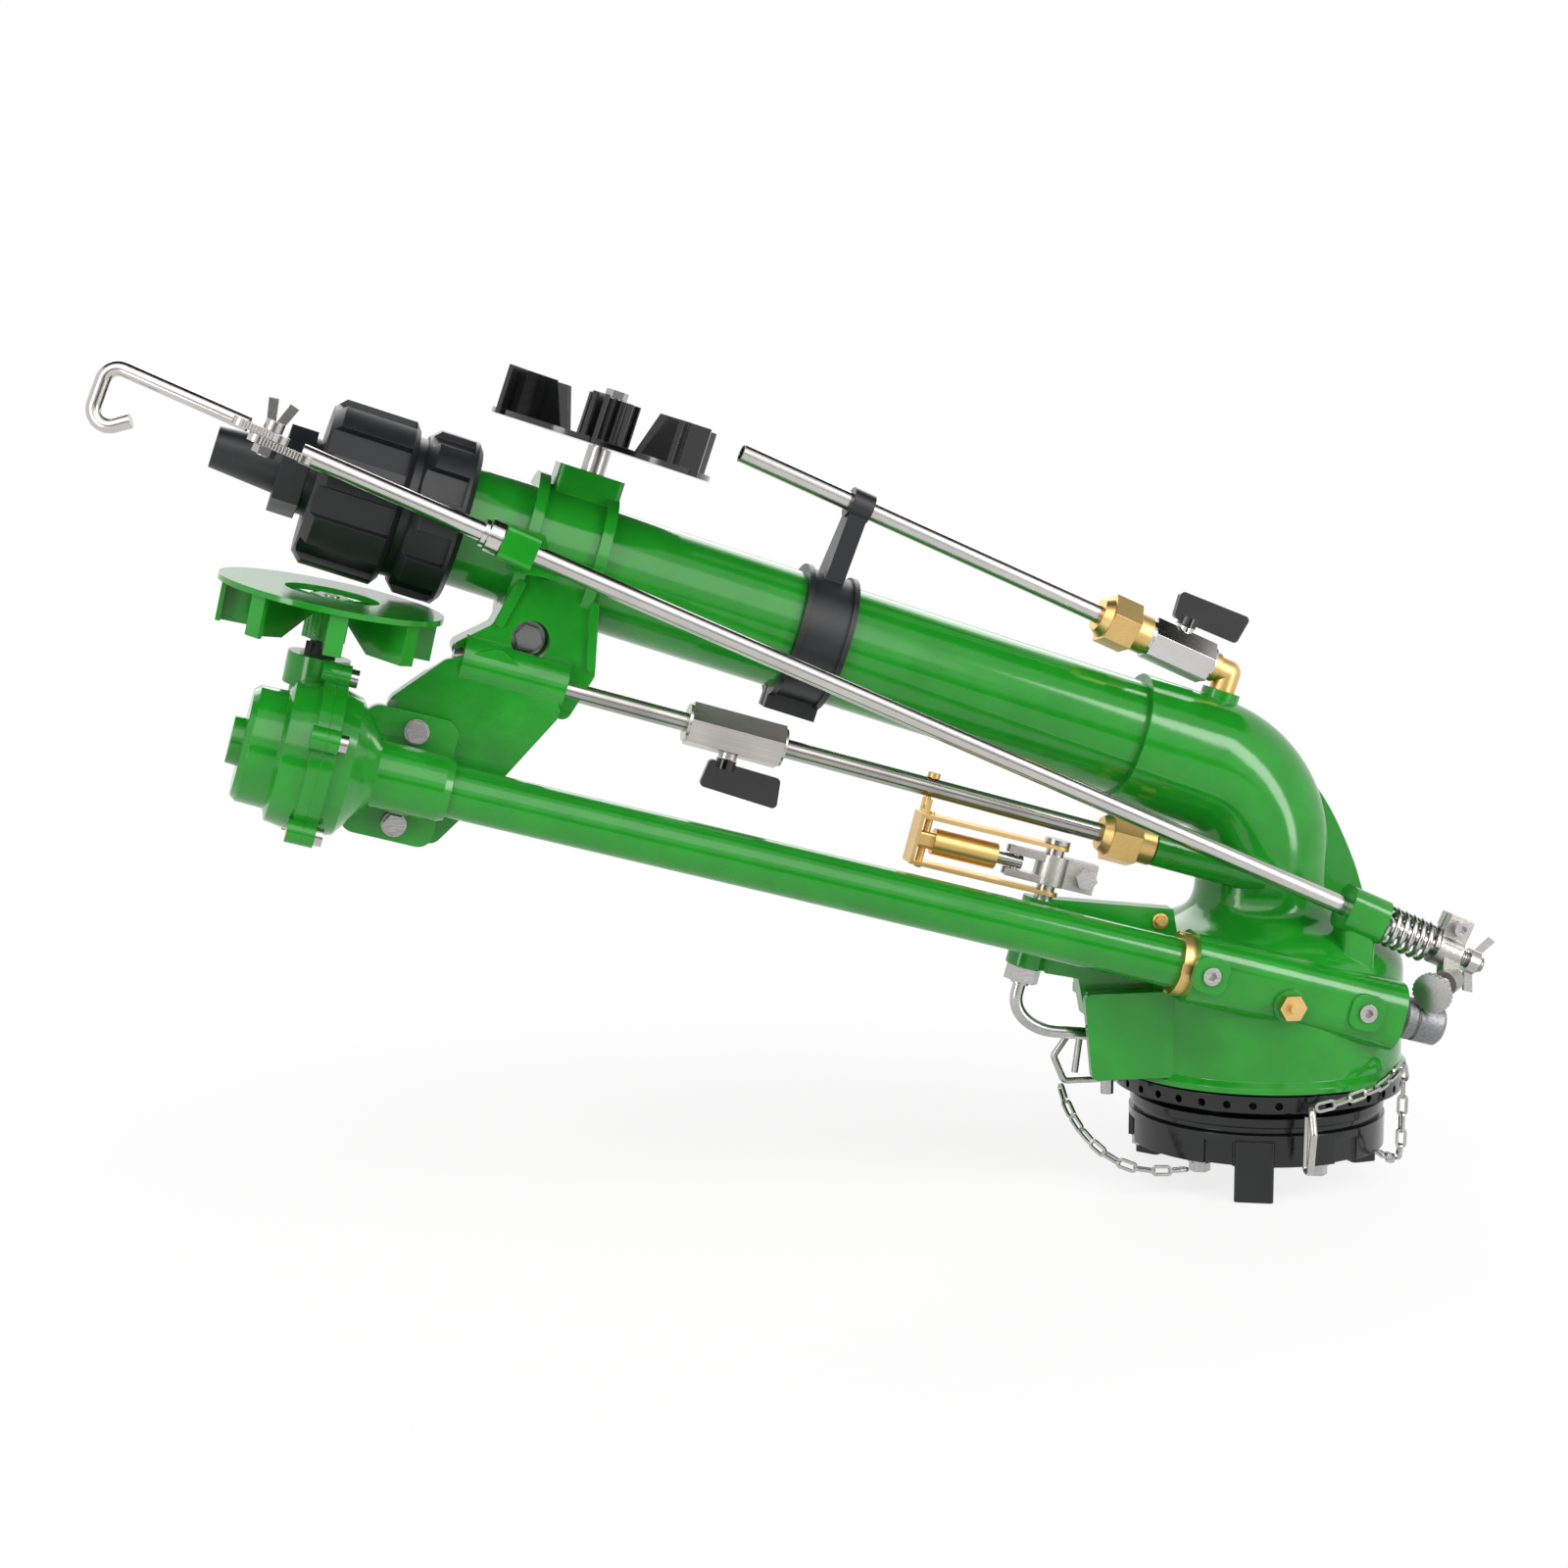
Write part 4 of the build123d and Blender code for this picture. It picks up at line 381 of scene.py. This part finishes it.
def thread(name, start, end, radius, pitch, material, body):
    axis = (end - start).normalized()
    side = axis.orthogonal().normalized()
    other = axis.cross(side)
    steps_a_turn = 24
    steps = round((end - start).length / pitch * steps_a_turn)
    made = bmesh.new()
    rows = []
    for i in range(steps + 1):
        turn = math.tau * i / steps_a_turn
        out = side * math.cos(turn) + other * math.sin(turn)
        centre = start + axis * (pitch * i / steps_a_turn)
        rows.append([made.verts.new((centre + out * r + axis * rise) / 1000) for r, rise in (
            (radius - 0.05, -0.45 * pitch), (radius + 0.5 * pitch, 0.0), (radius - 0.05, 0.45 * pitch))])
    for low, high in zip(rows, rows[1:]):
        for a, b in ((0, 1), (1, 2), (2, 0)):
            made.faces.new((low[a], low[b], high[b], high[a]))
    made.faces.new(rows[0][::-1])
    made.faces.new(rows[-1])
    bmesh.ops.recalc_face_normals(made, faces=made.faces)
    mesh = bpy.data.meshes.new(name)
    made.to_mesh(mesh)
    made.free()
    return add_piece(name, mesh, material, body)


rod_end = -115.0
rod_shoulder = -100.0
rod_thread_r = 4.0
rod_thread_pitch = 1.25
screw_thread_r = 3.0
screw_thread_pitch = 1.0
thread("rod_end_thread", on_rod(rod_end), on_rod(rod_shoulder), rod_thread_r, rod_thread_pitch,
       bright_fastener_steel, "breaker")
foot_point = Vector((84.0, -64.0, 98.0))
disc_point = Vector((70.0, -77.0, 94.5))
foot_way = (disc_point - foot_point).normalized()
behind_foot = 10.5
short_of_disc = 2.0
thread("foot_screw_thread", foot_point - foot_way * behind_foot, disc_point - foot_way * short_of_disc,
       screw_thread_r, screw_thread_pitch, bright_fastener_steel, "breaker")


# Serrated faces of the hook joint: teeth pressed across both flattened tabs, so the hook keeps its angle.
# They show as a row of fine bright ribs along the edges of the two tabs.
def ridges(name, place, first, last, count, low, high, reach, material, body):
    made = bmesh.new()
    width = (last - first) / count
    for i in range(count):
        middle = first + width * (i + 0.5)
        ends = []
        for up in (low, high):
            ends.append([made.verts.new(place @ Vector((along, up, away)) / 1000) for along, away in (
                (middle - width / 2, reach), (middle, reach - 0.7), (middle + width / 2, reach))])
        for a, b in ((0, 1), (1, 2), (2, 0)):
            made.faces.new((ends[0][a], ends[0][b], ends[1][b], ends[1][a]))
        made.faces.new(ends[0][::-1])
        made.faces.new(ends[1])
    bmesh.ops.recalc_face_normals(made, faces=made.faces)
    mesh = bpy.data.meshes.new(name)
    made.to_mesh(mesh)
    made.free()
    return add_piece(name, mesh, material, body)


hook_joint = 582.0
hook_turned = math.radians(13.0)
rod_place = Matrix.Translation(rod_origin) @ Matrix((rod_along, rod_up,
                                                     away_from_viewer)).transposed().to_4x4()
hook_place = Matrix.Translation(on_rod(hook_joint)) @ Matrix((
    rod_along * math.cos(hook_turned) + away_from_viewer * math.sin(hook_turned), rod_up,
    away_from_viewer * math.cos(hook_turned) - rod_along * math.sin(hook_turned))).transposed().to_4x4()
tab_half = 6.5
ridges("rod_tab_teeth", rod_place, 564.0, 586.0, 14, -4.1, -0.3, -tab_half + 0.1, drawn_stainless_rod,
       "breaker")
ridges("hook_tab_teeth", hook_place, -4.0, 15.0, 12, 0.1, 3.9, -tab_half + 0.1, drawn_stainless_rod, "hook")


# Brass screw plug beside the throat: a small hexagon head on a round flange, screwed into the casting.
# It stands square on the casting's trip arm, close to where the photograph shows it.
def turned(name, profile, place, segments, material, body):
    made = bmesh.new()
    rings = []
    for radius, height in profile:
        rings.append([made.verts.new(place @ Vector((radius * math.cos(math.tau * i / segments),
                                                     radius * math.sin(math.tau * i / segments), height)))
                      for i in range(segments)])
    for low, high in zip(rings, rings[1:]):
        for i in range(segments):
            j = (i + 1) % segments
            made.faces.new((low[i], low[j], high[j], high[i]))
    made.faces.new(rings[0][::-1])
    made.faces.new(rings[-1])
    bmesh.ops.recalc_face_normals(made, faces=made.faces)
    mesh = bpy.data.meshes.new(name)
    made.to_mesh(mesh)
    made.free()
    return add_piece(name, mesh, material, body)


def seen_at(px, py, *names):
    aside = camera.rotation_euler.to_matrix() @ Vector((
        (px - photo_side / 2) * mm_per_px / 1000, (photo_side / 2 - py) * mm_per_px / 1000, -camera_distance))
    hits = [cad[name].ray_cast(camera.location, aside) for name in names]
    hit, spot, normal, face = min((h for h in hits if h[0]), key=lambda h: (h[1] - camera.location).length)
    return spot, normal


plug_px = 1184
plug_py = 940
spot, normal = seen_at(plug_px, plug_py, "body_casting", "elbow_casting")
plug_place = Matrix.Translation(spot) @ normal.to_track_quat("Z", "Y").to_matrix().to_4x4()
turned("throat_plug_flange", ((0.0044, -0.0006), (0.0044, 0.0006), (0.0039, 0.001)), plug_place, 32,
       machined_brass, "gun")
turned("throat_plug_head", ((0.0032, 0.0008), (0.0032, 0.0026), (0.0028, 0.003)), plug_place, 6,
       machined_brass, "gun")
